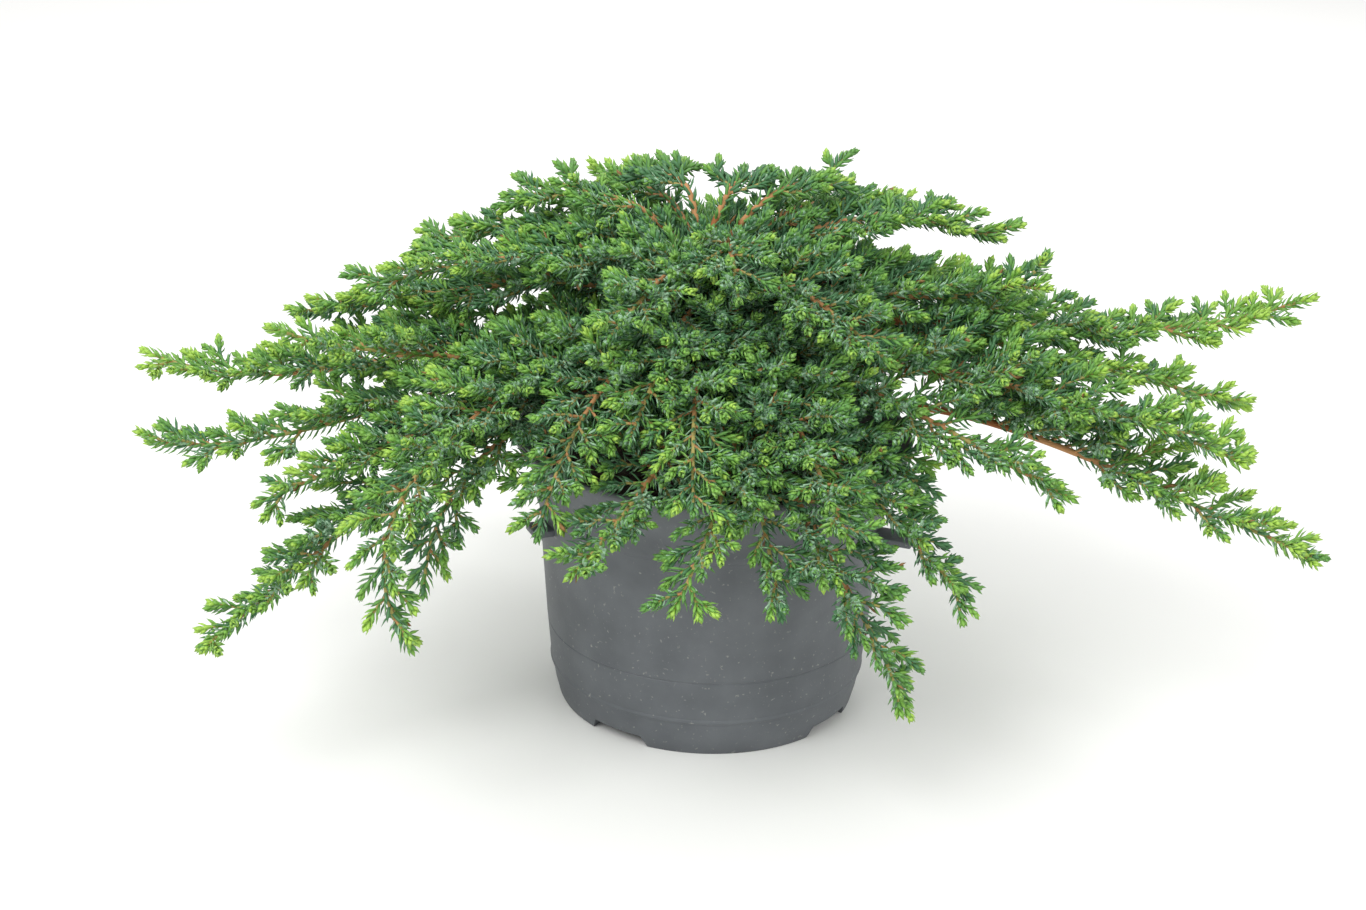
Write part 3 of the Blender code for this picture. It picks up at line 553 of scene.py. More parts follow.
@dataclass
class Path:
    """A curve through space that can be walked by its length."""

    points: np.ndarray
    lengths: np.ndarray = field(init=False)

    def __post_init__(self) -> None:
        """Measure the way along the points."""
        steps = np.linalg.norm(np.diff(self.points, axis=0), axis=1)
        self.lengths = np.concatenate(([0.0], np.cumsum(steps)))

    @classmethod
    def bezier(cls, start: Vector, first: Vector, second: Vector, end: Vector, count: int = 60) -> "Path":
        """Draw a cubic curve.

        Args:
            start: where it starts.
            first: the handle that it sets out for.
            second: the handle that it arrives from.
            end: where it ends.
            count: how many points it has.

        Returns:
            The curve as a path.
        """
        t = np.linspace(0.0, 1.0, count)[:, None]
        knots = [np.array(knot) for knot in (start, first, second, end)]
        curve = ((1 - t) ** 3 * knots[0] + 3 * (1 - t) ** 2 * t * knots[1]
                 + 3 * (1 - t) * t ** 2 * knots[2] + t ** 3 * knots[3])
        return cls(curve)

    @property
    def length(self) -> float:
        """The whole length."""
        return float(self.lengths[-1])

    def spots(self, lengths: np.ndarray) -> np.ndarray:
        """Return the points at some lengths from the start, one row for each."""
        axes = [np.interp(lengths, self.lengths, self.points[:, axis]) for axis in range(3)]
        return np.stack(axes, axis=-1)

    def at(self, length: float) -> Vector:
        """Return the point at a length from the start."""
        return Vector(self.spots(np.array(length)))

    def heading(self, length: float) -> Vector:
        """Find the direction of travel.

        Args:
            length: how far from the start.

        Returns:
            The direction there, one long.
        """
        reach = min(2 * MM, self.length / 4)
        before = max(0.0, length - reach)
        after = min(self.length, length + reach)
        return (self.at(after) - self.at(before)).normalized()

    def part(self, first: float, last: float, pitch: float = 3 * MM) -> "Path":
        """Return the stretch between two lengths, with points about a pitch apart."""
        count = max(4, round((last - first) / pitch) + 1)
        return Path(self.spots(np.linspace(first, last, count)))


class Room:
    """The space that is taken: pot, medium and trunk, and balls along each limb."""

    trunk_rings: int = 40

    def __init__(self) -> None:
        """Start with the trunk and no limbs."""
        self.places = np.zeros((0, 3))
        self.sizes = np.zeros(0)
        shares = np.linspace(0.0, 1.0, self.trunk_rings)
        self.trunk = np.array([TRUNK.point(share) for share in shares])
        self.girth = np.array([TRUNK.girth(share) for share in shares])

    def take(self, points: np.ndarray, size: float) -> None:
        """Fill the space along a line of points."""
        self.places = np.vstack((self.places, points))
        self.sizes = np.concatenate((self.sizes, np.full(len(points), size)))

    def fixed_clearance(self, points: np.ndarray, size: float) -> float:
        """Measure the space to the trunk, the medium and the pot.

        Args:
            points: the middle line of what would be added.
            size: its radius.

        Returns:
            The least space in metres, below zero where they would meet.
        """
        apart = np.linalg.norm(points[:, None, :] - self.trunk[None, :, :], axis=2)
        trunk = (apart - self.girth).min()
        pot, medium = self.pot_and_medium(points)
        return float(min(trunk, pot.min(), medium.min()) - size - GAP / 2)

    @staticmethod
    def pot_and_medium(points: np.ndarray) -> tuple[np.ndarray, np.ndarray]:
        """Measure how far points are from the pot and above the medium.

        Args:
            points: places in space.

        Returns:
            For each point the distance from the pot's wall and the height over the medium.
        """
        spread = np.hypot(points[:, 0], points[:, 1])
        heights = points[:, 2]
        wall = POT.wall_radius(heights)
        beside = np.abs(spread - wall)
        over = np.hypot(spread - POT.wall_radius(np.array(POT.height)), heights - POT.height)
        pot = np.where(heights < POT.height, beside, over) - POT.wall
        return pot, np.where(spread < wall, heights - POT.medium_height, math.inf)

    def clearance(self, points: np.ndarray, size: float) -> float:
        """Measure the space to the limbs.

        Args:
            points: the middle line of what would be added.
            size: its radius.

        Returns:
            The least space in metres, below zero where they would meet.
        """
        if not len(self.sizes):
            return math.inf
        apart = np.linalg.norm(points[:, None, :] - self.places[None, :, :], axis=2)
        return float((apart - self.sizes).min() - size)


@dataclass
class Limb:
    """A main limb of the plant: its bough and the stem that goes on from the bough."""

    plan: LimbPlan
    number: int
    path: Path

    @classmethod
    def grow(cls, plan: LimbPlan, number: int) -> "Limb":
        """Draw the limb that a plan describes, rooted on the trunk's surface.

        Args:
            plan: the limb's sizes.
            number: its place in the order.

        Returns:
            The limb.
        """
        share = (plan.start * MM - TRUNK.foot.z) / (TRUNK.tip.z - TRUNK.foot.z)
        middle = TRUNK.point(share)
        knee_height = (plan.tip + plan.lift) * MM
        first = polar(plan.reach * LIMB.crest_place * MM, plan.azimuth - plan.sweep, plan.crest * MM)
        second = polar(plan.reach * plan.knee * MM, plan.azimuth - plan.sweep / 3, knee_height)
        end = polar(plan.reach * MM, plan.azimuth, plan.tip * MM)
        heading = (first - middle).normalized()
        outward = Vector((heading.x, heading.y, 0.0)).normalized()
        radius = LIMB.bough_base if plan.bough else LIMB.stem
        standoff = radius * math.sqrt(max(0.0, 1 - heading.dot(outward) ** 2))
        root = middle + outward * (TRUNK.girth(share) + GAP + standoff)
        return cls(plan, number, Path.bezier(root, first, second, end))

    @property
    def stem_start(self) -> float:
        """The length along the limb where its foliage begins."""
        return self.path.length * self.plan.bough + (GAP if self.plan.bough else 0.0)

    @property
    def leafy_start(self) -> float:
        """The length along the limb from which its solid's stem has needles of its own."""
        return self.path.length - (self.path.length - self.stem_start) * LIMB.leafy_share

    def bodies(self) -> list[tuple[np.ndarray, float]]:
        """Split the limb into the stretches that fill space.

        Returns:
            For the bare stretch and the leafy one, its middle line and its radius.
        """
        bare = self.path.part(0.0, self.leafy_start).points
        leafy = self.path.part(self.leafy_start, self.path.length).points
        radius = LIMB.bough_base if self.plan.bough else LIMB.stem
        return [(bare, radius + GAP / 2), (leafy, LIMB.needle_reach + GAP / 2)]

    def clear_of(self, room: Room) -> float:
        """Measure the space about the limb.

        Args:
            room: what is taken.

        Returns:
            The least space between the limb and the rest, but for its root at the trunk.
        """
        spaces = []
        root = self.path.points[0]
        for points, size in self.bodies():
            away = points[np.linalg.norm(points - root, axis=1) > LIMB.root_length]
            spaces.append(room.fixed_clearance(away, size))
        if min(spaces) > 0:
            spaces += [room.clearance(points, size) for points, size in self.bodies()]
        return min(spaces)


@dataclass(frozen=True)
class Shifts:
    """How far a limb may be moved from its plan to clear the others, in degrees and millimetres.

    It may start no lower than some way above the medium, and no higher than just below the trunk's tip.
    """

    turns: tuple[int, ...] = (0, 3, -3, 6, -6)
    sweeps: tuple[int, ...] = (0, 9, -9, 18, -18)
    rises: tuple[int, ...] = (0, 8, -8, 16, -16)
    starts: tuple[int, ...] = tuple(range(-30, 31, 3))
    turn_weight: float = 12
    sweep_weight: float = 1.2
    above_medium: float = 9
    below_tip: float = 3

    def effort(self, shift: tuple[float, float, float, float]) -> float:
        """Return how far a shift takes a limb from its plan."""
        turn, sweep, rise, start = shift
        return abs(turn) * self.turn_weight + abs(sweep) * self.sweep_weight + abs(rise) + abs(start)

    def settle(self, plan: LimbPlan, number: int, room: Room) -> Limb:
        """Place a limb, moved a little where it would meet the others, and take its space.

        Args:
            plan: the limb's sizes.
            number: its place in the order.
            room: the space that is taken, to which the limb is added.

        Returns:
            The limb with the most space about it among the places tried.
        """
        best = None
        most = -math.inf
        lowest = POT.medium_height / MM + self.above_medium
        highest = TRUNK.tip.z / MM - self.below_tip
        shifts = product(self.turns, self.sweeps, self.rises, self.starts)
        for turn, sweep, rise, shift in sorted(shifts, key=self.effort):
            start = plan.start + shift
            if not lowest < start < highest:
                continue
            moved = replace(plan, azimuth=plan.azimuth + turn, sweep=plan.sweep + sweep,
                            crest=plan.crest + rise, start=start)
            limb = Limb.grow(moved, number)
            space = limb.clear_of(room)
            if space > most:
                best, most = limb, space
            if most > 0:
                break
        for points, size in best.bodies():
            room.take(points, size)
        return best


def place_in_scene(name: str, data: bpy.types.ID) -> bpy.types.Object:
    """Make an object of a mesh, a light or a camera.

    Args:
        name: the object's name.
        data: what it shows.

    Returns:
        The object, linked to the scene.
    """
    thing = bpy.data.objects.new(name, data)
    bpy.context.scene.collection.objects.link(thing)
    return thing


def mesh_from(name: str, verts: np.ndarray, faces: list[np.ndarray], tones: list[np.ndarray],
              skins: list[bpy.types.Material]) -> bpy.types.Object:
    """Make a smooth-shaded object from arrays of corners and faces.

    Args:
        name: the piece's name.
        verts: the corners, one row each.
        faces: arrays of faces, each with one row a face; the rows of one array are equally long.
        tones: for each array of faces, which of the skins each face has.
        skins: the piece's materials.

    Returns:
        The object, linked to the scene.
    """
    data = bpy.data.meshes.new(name)
    data.vertices.add(len(verts))
    data.vertices.foreach_set("co", verts.astype(np.float32).ravel())
    corners = np.concatenate([block.ravel() for block in faces])
    sizes = np.concatenate([np.full(len(block), block.shape[1]) for block in faces])
    data.loops.add(len(corners))
    data.polygons.add(len(sizes))
    starts = np.concatenate(([0], np.cumsum(sizes)[:-1]))
    data.polygons.foreach_set("loop_start", starts.astype(np.int32))
    data.loops.foreach_set("vertex_index", corners.astype(np.int32))
    data.polygons.foreach_set("material_index", np.concatenate(tones).astype(np.int32))
    data.polygons.foreach_set("use_smooth", np.full(len(sizes), True))
    data.update(calc_edges=True)
    data.validate()
    for skin in skins:
        data.materials.append(skin)
    return place_in_scene(name, data)


def object_from(mesh: bmesh.types.BMesh, name: str,
                skin: bpy.types.Material | None = None) -> bpy.types.Object:
    """Make an object of an edited mesh, which is freed.

    Args:
        mesh: the edited mesh.
        name: the object's name.
        skin: its material, where it has one.

    Returns:
        The object, linked to the scene.
    """
    data = bpy.data.meshes.new(name)
    mesh.to_mesh(data)
    mesh.free()
    if skin:
        data.materials.append(skin)
    return place_in_scene(name, data)


def fit_piece(piece: bpy.types.Object, nodes: list[str]) -> None:
    """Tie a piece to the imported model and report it.

    Args:
        piece: the new object.
        nodes: the solids that it stands for.
    """
    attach(piece, "root")
    if nodes:
        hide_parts(*nodes)
    faces = sum(len(face.vertices) - 2 for face in piece.data.polygons)
    LOG.info("%s: %d triangles in place of %d solids", piece.name, faces, len(nodes))


def framed(points: np.ndarray) -> tuple[np.ndarray, np.ndarray, np.ndarray]:
    """Find upright frames along a line that turn with it and don't spin about it.

    Args:
        points: the line's points.

    Returns:
        The heading, the side and the upper direction at each point.
    """
    heading = np.gradient(points, axis=0)
    heading /= np.linalg.norm(heading, axis=1)[:, None]
    side = np.cross(heading[0], ASKEW)
    sides = np.empty_like(points)
    for index, ahead in enumerate(heading):
        side = side - ahead * side.dot(ahead)
        side = side / np.linalg.norm(side)
        sides[index] = side
    return heading, sides, np.cross(heading, sides)


def tube_arrays(points: np.ndarray, radii: np.ndarray, sides: int,
                relief: np.ndarray | None = None) -> tuple[np.ndarray, np.ndarray]:
    """Lay out a round limb along a line, open at both ends.

    Args:
        points: the middle line.
        radii: the radius at each of its points.
        sides: how many sides it has.
        relief: how far each corner stands proud, one row a point and one column a side.

    Returns:
        The corners and the four-sided faces.
    """
    _, across, upper = framed(points)
    angles = np.linspace(0, 2 * math.pi, sides, endpoint=False)
    out = (across[:, None, :] * np.cos(angles)[None, :, None]
           + upper[:, None, :] * np.sin(angles)[None, :, None])
    reach = np.repeat(radii[:, None], sides, axis=1)
    if relief is not None:
        reach = reach + relief
    verts = (points[:, None, :] + out * reach[:, :, None]).reshape(-1, 3)
    ring = np.arange(len(points) - 1)[:, None] * sides
    here = np.arange(sides)[None, :]
    after = (here + 1) % sides
    faces = np.stack([ring + here, ring + after, ring + sides + after, ring + sides + here], axis=-1)
    return verts, faces.reshape(-1, 4)


def turned_arrays(profile: list[tuple[float, float]], steps: int) -> tuple[np.ndarray, np.ndarray]:
    """Lay out a half section turned about Z, whose ends lie on the axis.

    Args:
        profile: radius and height of each point, down the inside and up the outside.
        steps: how many sides the turned shape has.

    Returns:
        The corners and the four-sided faces.
    """
    outline = np.array(profile)
    angles = np.linspace(0, 2 * math.pi, steps, endpoint=False)
    verts = np.stack([
        outline[None, :, 0] * np.cos(angles)[:, None],
        outline[None, :, 0] * np.sin(angles)[:, None],
        np.repeat(outline[None, :, 1], steps, axis=0),
    ], axis=-1).reshape(-1, 3)
    count = len(profile)
    here = np.arange(steps)[:, None] * count
    after = (np.arange(steps)[:, None] + 1) % steps * count
    rows = np.arange(count - 1)[None, :]
    faces = np.stack([here + rows, after + rows, after + rows + 1, here + rows + 1], axis=-1)
    return verts, faces.reshape(-1, 4)


class ShootOrder(Enum):
    """A stem, a side shoot of a stem, or a fine shoot of a side shoot.

    Each has the number of sides of its round, the twig tone at its foot, and how many tones fresher it
    is at its tip. Tones count in the order of TwigTone.
    """

    STEM = (8, 0.5, 2.3)
    SIDE = (5, 1.7, 1.8)
    FINE = (3, 2.4, 0.9)


@dataclass(frozen=True)
class Sprig:
    """A leafy shoot: its middle line, its girth, where its needles begin and how it has grown.

    Light runs from 0 in the shaded heart of the plant to 1 at its outside, and a shoot at a tip may
    have a little more.
    """

    line: Path
    thick: float
    thin: float
    leafy: float
    light: float
    order: ShootOrder
    vigour: float = 1.0


@dataclass
class Crowding:
    """The small cells of space that shoots have grown through, so that later ones find the gaps."""

    cell: float = 3.0 * MM
    most: float = 0.42
    taken: set[tuple[int, int, int]] = field(default_factory=set)

    def cells(self, points: np.ndarray) -> list[tuple[int, int, int]]:
        """Return the cells that a line of points runs through."""
        return [tuple(place) for place in np.floor(points / self.cell).astype(int).tolist()]

    def has_room(self, points: np.ndarray) -> bool:
        """Tell whether few enough of a line's cells are taken."""
        cells = self.cells(points)
        return sum(cell in self.taken for cell in cells) <= self.most * len(cells)

    def fill(self, points: np.ndarray) -> None:
        """Take the cells of a line of points."""
        self.taken.update(self.cells(points))


@dataclass(frozen=True)
class Dome:
    """The outline of the plant's crown: its top, how it falls away, and how light gets into it.

    Fall is how steeply the roof drops with the square of the distance from the middle, and rise how
    far a shoot may stand above its own root where the roof is lower. Light grows with the distance
    from the middle, measured in half widths and half depths, and with the height over the base. The
    needles' colours take painted shade from it, darkest in the heart of the plant.
    """

    top: float = 201 * MM
    fall: float = 2.1
    rise: float = 7 * MM
    half_width: float = 0.21
    half_depth: float = 0.16
    base: float = 0.10
    depth: float = 0.11
    outer_light: float = 0.74
    upper_light: float = 0.36

    def light_at(self, place: Vector) -> float:
        """Find how much light reaches a place.

        Args:
            place: a point in space.

        Returns:
            From 0 in the heart of the plant to 1 at its outside.
        """
        spread = math.hypot(place.x / self.half_width, place.y / self.half_depth)
        height = max(0.0, place.z - self.base) / self.depth
        return min(1.0, self.outer_light * spread + self.upper_light * height)

    def roof(self, end: Vector, root: Vector) -> float:
        """Return how high a shoot may end, for where it ends and where it is rooted."""
        return max(self.top - self.fall * (end.x ** 2 + end.y ** 2), root.z + self.rise)


@dataclass(frozen=True)
class SideShoots:
    """The side shoots of a stem, in metres and degrees: shorter towards its tip, and raised inside.

    A shoot that finds no space is tried again, each time a little shorter and perhaps more raised.
    """

    pitch: float = 5.0 * MM
    place: tuple[float, float] = (0.3, 0.7)
    bare_end: float = 7 * MM
    longest: float = 46 * MM
    shortest: float = 12 * MM
    shortening: float = 0.8
    length: tuple[float, float] = (0.78, 1.06)
    shorter_each_try: float = 0.07
    angle: float = 54
    angle_slack: tuple[float, float] = (-9, 7)
    lowest_tilt: float = -26
    highest_tilt: float = 52
    higher_each_try: float = 8
    inner_tilt: float = 32
    tries: int = 5
    thick: float = 0.68 * MM
    thin: float = 0.40 * MM
    bare_foot: float = 2 * MM
    bare_share: float = 0.12
    tip_light: float = 0.22
    vigour: tuple[float, float] = (0.88, 1.08)


@dataclass(frozen=True)
class FineShoots:
    """The short shoots on a side shoot, in metres and degrees, left and right by turns."""

    pitch: float = 5.0 * MM
    place: tuple[float, float] = (0.2, 0.8)
    bare_foot_of_side: float = 4 * MM
    bare_end_of_side: float = 6 * MM
    longest: float = 16 * MM
    shortest: float = 8 * MM
    length: tuple[float, float] = (0.7, 1.05)
    angle: tuple[float, float] = (38, 52)
    tilt: tuple[float, float] = (-30, 60)
    tries: int = 3
    thick: float = 0.55 * MM
    thin: float = 0.38 * MM
    bare_foot: float = 1.2 * MM
    more_light: tuple[float, float] = (0.0, 0.16)
    vigour: tuple[float, float] = (0.80, 1.0)


@dataclass(frozen=True)
class Bend:
    """How a shoot bends from its own heading towards its stem's.

    The first share of its length runs straight out, and the rest keeps some of that heading and takes
    some of the stem's. Handle is where along the first share the curve's first handle is.
    """

    straight: float = 0.55
    bent: float = 0.45
    own: float = 0.62
    stem: float = 0.38
    handle: float = 0.6
    points: int = 16
    pitch: float = 3.2 * MM

    def line(self, root: Vector, heading: Vector, hand: int, tilt: float, turn: float,
             length: float) -> Path:
        """Draw a shoot that leaves its stem aside.

        Args:
            root: where it leaves the stem.
            heading: the stem's direction there.
            hand: 1 or -1 for the side that it leaves on.
            tilt: degrees that it leaves above the level.
            turn: degrees between it and the stem.
            length: its length.

        Returns:
            Its middle line.
        """
        level = heading.cross(UP).normalized()
        above = level.cross(heading)
        lean = math.radians(tilt)
        angle = math.radians(turn)
        aside = (level * hand * math.cos(lean) + above * math.sin(lean)).normalized()
        out = heading * math.cos(angle) + aside * math.sin(angle)
        bent = root + out * length * self.straight
        end = bent + (out * self.own + heading * self.stem).normalized() * length * self.bent
        whole = Path.bezier(root, root.lerp(bent, self.handle), bent, end, self.points)
        return whole.part(0.0, whole.length, self.pitch)


@dataclass
class Habit:
    """How the juniper grows: its limbs as in the solids, then finer side shoots and their own shoots.

    A stem has needles from a share of its length on: a low one, which the others shade, from further
    out than one that starts high on the trunk.
    """

    side: SideShoots = SideShoots()
    fine: FineShoots = FineShoots()
    bend: Bend = Bend()
    dome: Dome = Dome()
    stem_pitch: float = 3 * MM
    stem_foot: float = LIMB.stem * 0.95
    stem_tip: float = 0.55 * MM
    high_start: float = 150
    high_bare: float = 0.10
    low_bare: float = 0.36
    needle_room: float = 3.2 * MM
    root_room: float = 5 * MM
    room: Room = field(default_factory=Room)
    crowding: Crowding = field(default_factory=Crowding)
    limbs: list[Limb] = field(default_factory=list)
    sprigs: dict[str, list[Sprig]] = field(default_factory=dict)

    def lay_out(self) -> None:
        """Settle every limb in the order and with the seeds of the solids."""
        shifts = Shifts()
        for number, plan in enumerate((*FRONT_LIMBS, *FarSide().plans(random.Random(SEED)))):
            self.limbs.append(shifts.settle(plan, number, self.room))

    def grow(self) -> None:
        """Grow the stems, then their side shoots by turns, so that no limb takes all the space."""
        for limb in self.limbs:
            stem = limb.path.part(limb.stem_start, limb.path.length, self.stem_pitch)
            self.crowding.fill(stem.points)
            bare = self.high_bare if limb.plan.start > self.high_start else self.low_bare
            self.sprigs[limb.plan.name] = [Sprig(
                line=stem, thick=self.stem_foot, thin=self.stem_tip, leafy=stem.length * bare,
                light=self.dome.light_at(stem.at(stem.length)), order=ShootOrder.STEM)]
        chances = [random.Random(SHOOT_SEED + limb.number) for limb in self.limbs]
        most = max(limb.path.length - limb.stem_start for limb in self.limbs)
        for turn in range(math.ceil(most / self.side.pitch)):
            for limb, chance in zip(self.limbs, chances):
                self.side_shoot(limb, turn, chance)

    def side_shoot(self, limb: Limb, turn: int, chance: random.Random) -> None:
        """Grow one side shoot where there is space for it, with shoots of its own.

        Args:
            limb: the limb that bears it.
            turn: its place in the order along the stem.
            chance: the limb's seeded source of differences.
        """
        side, fine = self.side, self.fine
        at = limb.stem_start + side.pitch * (turn + chance.uniform(*side.place))
        if at > limb.path.length - side.bare_end:
            return
        share = (at - limb.stem_start) / (limb.path.length - limb.stem_start)
        line = self.free_side_line(limb, turn, at, share, chance)
        if line is None:
            return
        self.crowding.fill(line.points)
        light = self.dome.light_at(line.at(line.length)) + side.tip_light * share ** 2
        self.sprigs[limb.plan.name].append(Sprig(
            line=line, thick=side.thick, thin=side.thin,
            leafy=min(side.bare_foot, line.length * side.bare_share),
            light=light, order=ShootOrder.SIDE, vigour=chance.uniform(*side.vigour)))
        for place in range(int((line.length - fine.bare_foot_of_side) / fine.pitch)):
            start = fine.bare_foot_of_side + fine.pitch * (place + chance.uniform(*fine.place))
            left = line.length - start
            if left < fine.bare_end_of_side:
                return
            self.fine_shoot(limb, line, start, 1 if place % 2 else -1, min(left, fine.longest), chance)

    def free_side_line(self, limb: Limb, turn: int, at: float, share: float,
                       chance: random.Random) -> Path | None:
        """Try some lines for a side shoot.

        Args:
            limb: the limb that bears it.
            turn: its place in the order along the stem, which gives the side that it leaves on.
            at: how far along the limb it is rooted.
            share: how far along the leafy stem that is, from 0 to 1.
            chance: the limb's seeded source of differences.

        Returns:
            The first line that has space, if there is one.
        """
        side = self.side
        longest = side.longest + (side.shortest - side.longest) * share ** side.shortening
        root = limb.path.at(at)
        heading = limb.path.heading(at)
        hand = 1 if (turn + limb.number) % 2 else -1
        inner = side.inner_tilt * (1 - share)
        for attempt in range(side.tries):
            highest = side.highest_tilt + side.higher_each_try * attempt
            tilt = chance.uniform(side.lowest_tilt, highest) + inner
            angle = side.angle + chance.uniform(*side.angle_slack)
            length = longest * chance.uniform(*side.length) * (1 - side.shorter_each_try * attempt)
            line = self.bend.line(root, heading, hand, tilt, angle, length)
            if self.fits(line, root):
                return line
        return None

    def fine_shoot(self, limb: Limb, stem: Path, start: float, hand: int, longest: float,
                   chance: random.Random) -> None:
        """Grow one short shoot on a side shoot where there is space for it.

        Args:
            limb: the limb that bears it.
            stem: the side shoot.
            start: how far along that shoot it is rooted.
            hand: 1 or -1 for the side that it leaves on.
            longest: its greatest length.
            chance: the limb's seeded source of differences.
        """
        fine = self.fine
        root = stem.at(start)
        for _ in range(fine.tries):
            length = max(fine.shortest, longest * chance.uniform(*fine.length))
            line = self.bend.line(root, stem.heading(start), hand, chance.uniform(*fine.tilt),
                                  chance.uniform(*fine.angle), length)
            if self.fits(line, root):
                self.crowding.fill(line.points)
                light = self.dome.light_at(line.at(line.length)) + chance.uniform(*fine.more_light)
                self.sprigs[limb.plan.name].append(Sprig(
                    line=line, thick=fine.thick, thin=fine.thin, leafy=fine.bare_foot, light=light,
                    order=ShootOrder.FINE, vigour=chance.uniform(*fine.vigour)))
                return

    def fits(self, line: Path, root: Vector) -> bool:
        """Tell whether a shoot stays under the crown's outline, off the pot and in free space.

        Args:
            line: the shoot's middle line.
            root: where it leaves its stem.

        Returns:
            True if it may grow.
        """
        end = line.at(line.length)
        if end.z > self.dome.roof(end, root):
            return False
        if self.room.fixed_clearance(line.points, self.needle_room) < 0:
            return False
        away = line.points[np.linalg.norm(line.points - np.array(root), axis=1) > self.root_room]
        return len(away) == 0 or self.crowding.has_room(away)


@dataclass(frozen=True)
class ToneDeal:
    """How colours are dealt to needles: by the light, by chance, and fresher towards a shoot's tip.

    Fresher tips are more likely outside, where the new growth is. Shade is painted too: a sprig that less
    light reaches is dealt darker tones. A few needles in the shade are dry, and some lie so that their
    pale band doesn't show.
    """

    painted_shade_steps: float = 3.0
    by_shoot: float = 0.5
    by_needle: float = 0.28
    tip: float = 0.9
    fresh_tip: float = 1.8
    fresh_chance: float = 0.35
    fresh_by_light: float = 0.5
    tip_power: float = 1.4
    dry_share: float = 0.012
    bandless_share: float = 0.16

    def deal(self, light: float, young: np.ndarray,
             chance: np.random.Generator) -> tuple[np.ndarray, np.ndarray]:
        """Deal one sprig's colours.

        Args:
            light: how much light the sprig has.
            young: for each needle, how near the tip it is, from 0 to 1.
            chance: the seeded source of differences.

        Returns:
            The tone of each needle and of its band, as places in NeedleTone.
        """
        # Painted shade: the less light a sprig has, the darker the tones its needles are dealt.
        shade = light * self.painted_shade_steps + chance.normal(0, self.by_shoot)
        fresh = chance.uniform() < self.fresh_chance + self.fresh_by_light * light
        tip = self.tip + (self.fresh_tip * light if fresh else 0.0)
        spread = chance.normal(0, self.by_needle, len(young))
        level = np.floor(shade + tip * young ** self.tip_power + spread)
        level = np.clip(level, NeedleTone.DEEP.place, NeedleTone.LIME.place)
        dry = chance.uniform(size=len(young)) < self.dry_share * (1 - light)
        band = np.where(level >= NeedleTone.FRESH.place, NeedleTone.GREEN_BAND.place,
                        NeedleTone.PALE_BAND.place)
        bandless = chance.uniform(size=len(young)) < self.bandless_share
        brown = NeedleTone.DRY.place
        return np.where(dry, brown, level), np.where(dry, brown, np.where(bandless, level, band))


@dataclass(frozen=True)
class NeedleForm:
    """One needle: a keeled awl, widest a little past its middle, with a pale band along its upper side.

    The section's corners are shares of the width across and of the keel's depth, the two upper ones
    first. A station is a share of the length, its girth, and how far the needle bows there.
    """

    width: float = 1.6 * MM
    keel: float = 0.55 * MM
    section: tuple[tuple[float, float], ...] = ((-0.5, 0.08), (0.5, 0.08), (0.0, -1.0))
    stations: tuple[tuple[float, float, float], ...] = ((0.02, 0.66, 0.0), (0.58, 1.0, -0.035))
    sheets: tuple[tuple[int, ...], ...] = ((0, 1, 4, 3), (1, 2, 5, 4), (2, 0, 3, 5))
    ends: tuple[tuple[int, ...], ...] = ((3, 4, 6), (4, 5, 6), (5, 3, 6))

    def mesh(self, name: str, rows: np.ndarray, skins: list[bpy.types.Material]) -> bpy.types.Object:
        """Build some needles as one mesh of nine triangles each.

        Args:
            name: the piece's name.
            rows: the needles, as NeedleBed keeps them.
            skins: the materials in the order of NeedleTone.

        Returns:
            The piece.
        """
        place, ahead, inner = rows[:, 0:3], rows[:, 3:6], rows[:, 6:9]
        length, width = rows[:, 9:10], rows[:, 10:11]
        side = np.cross(ahead, inner)
        points = []
        for share, girth, bow in self.stations:
            middle = place + ahead * length * share + inner * length * bow
            for across, high in self.section:
                points.append(middle + side * width * girth * across + inner * self.keel * girth * high)
        points.append(place + ahead * length)
        verts = np.stack(points, axis=1).reshape(-1, 3)
        base = np.arange(len(rows))[:, None, None] * len(points)
        tip_tone = np.repeat(rows[:, 11:12], len(self.ends), axis=1)
        tone = tip_tone.copy()
        tone[:, 0] = rows[:, 12]
        faces = [(base + np.array(self.sheets)).reshape(-1, 4), (base + np.array(self.ends)).reshape(-1, 3)]
        return mesh_from(name, verts, faces, [tone.ravel(), tip_tone.ravel()], skins)


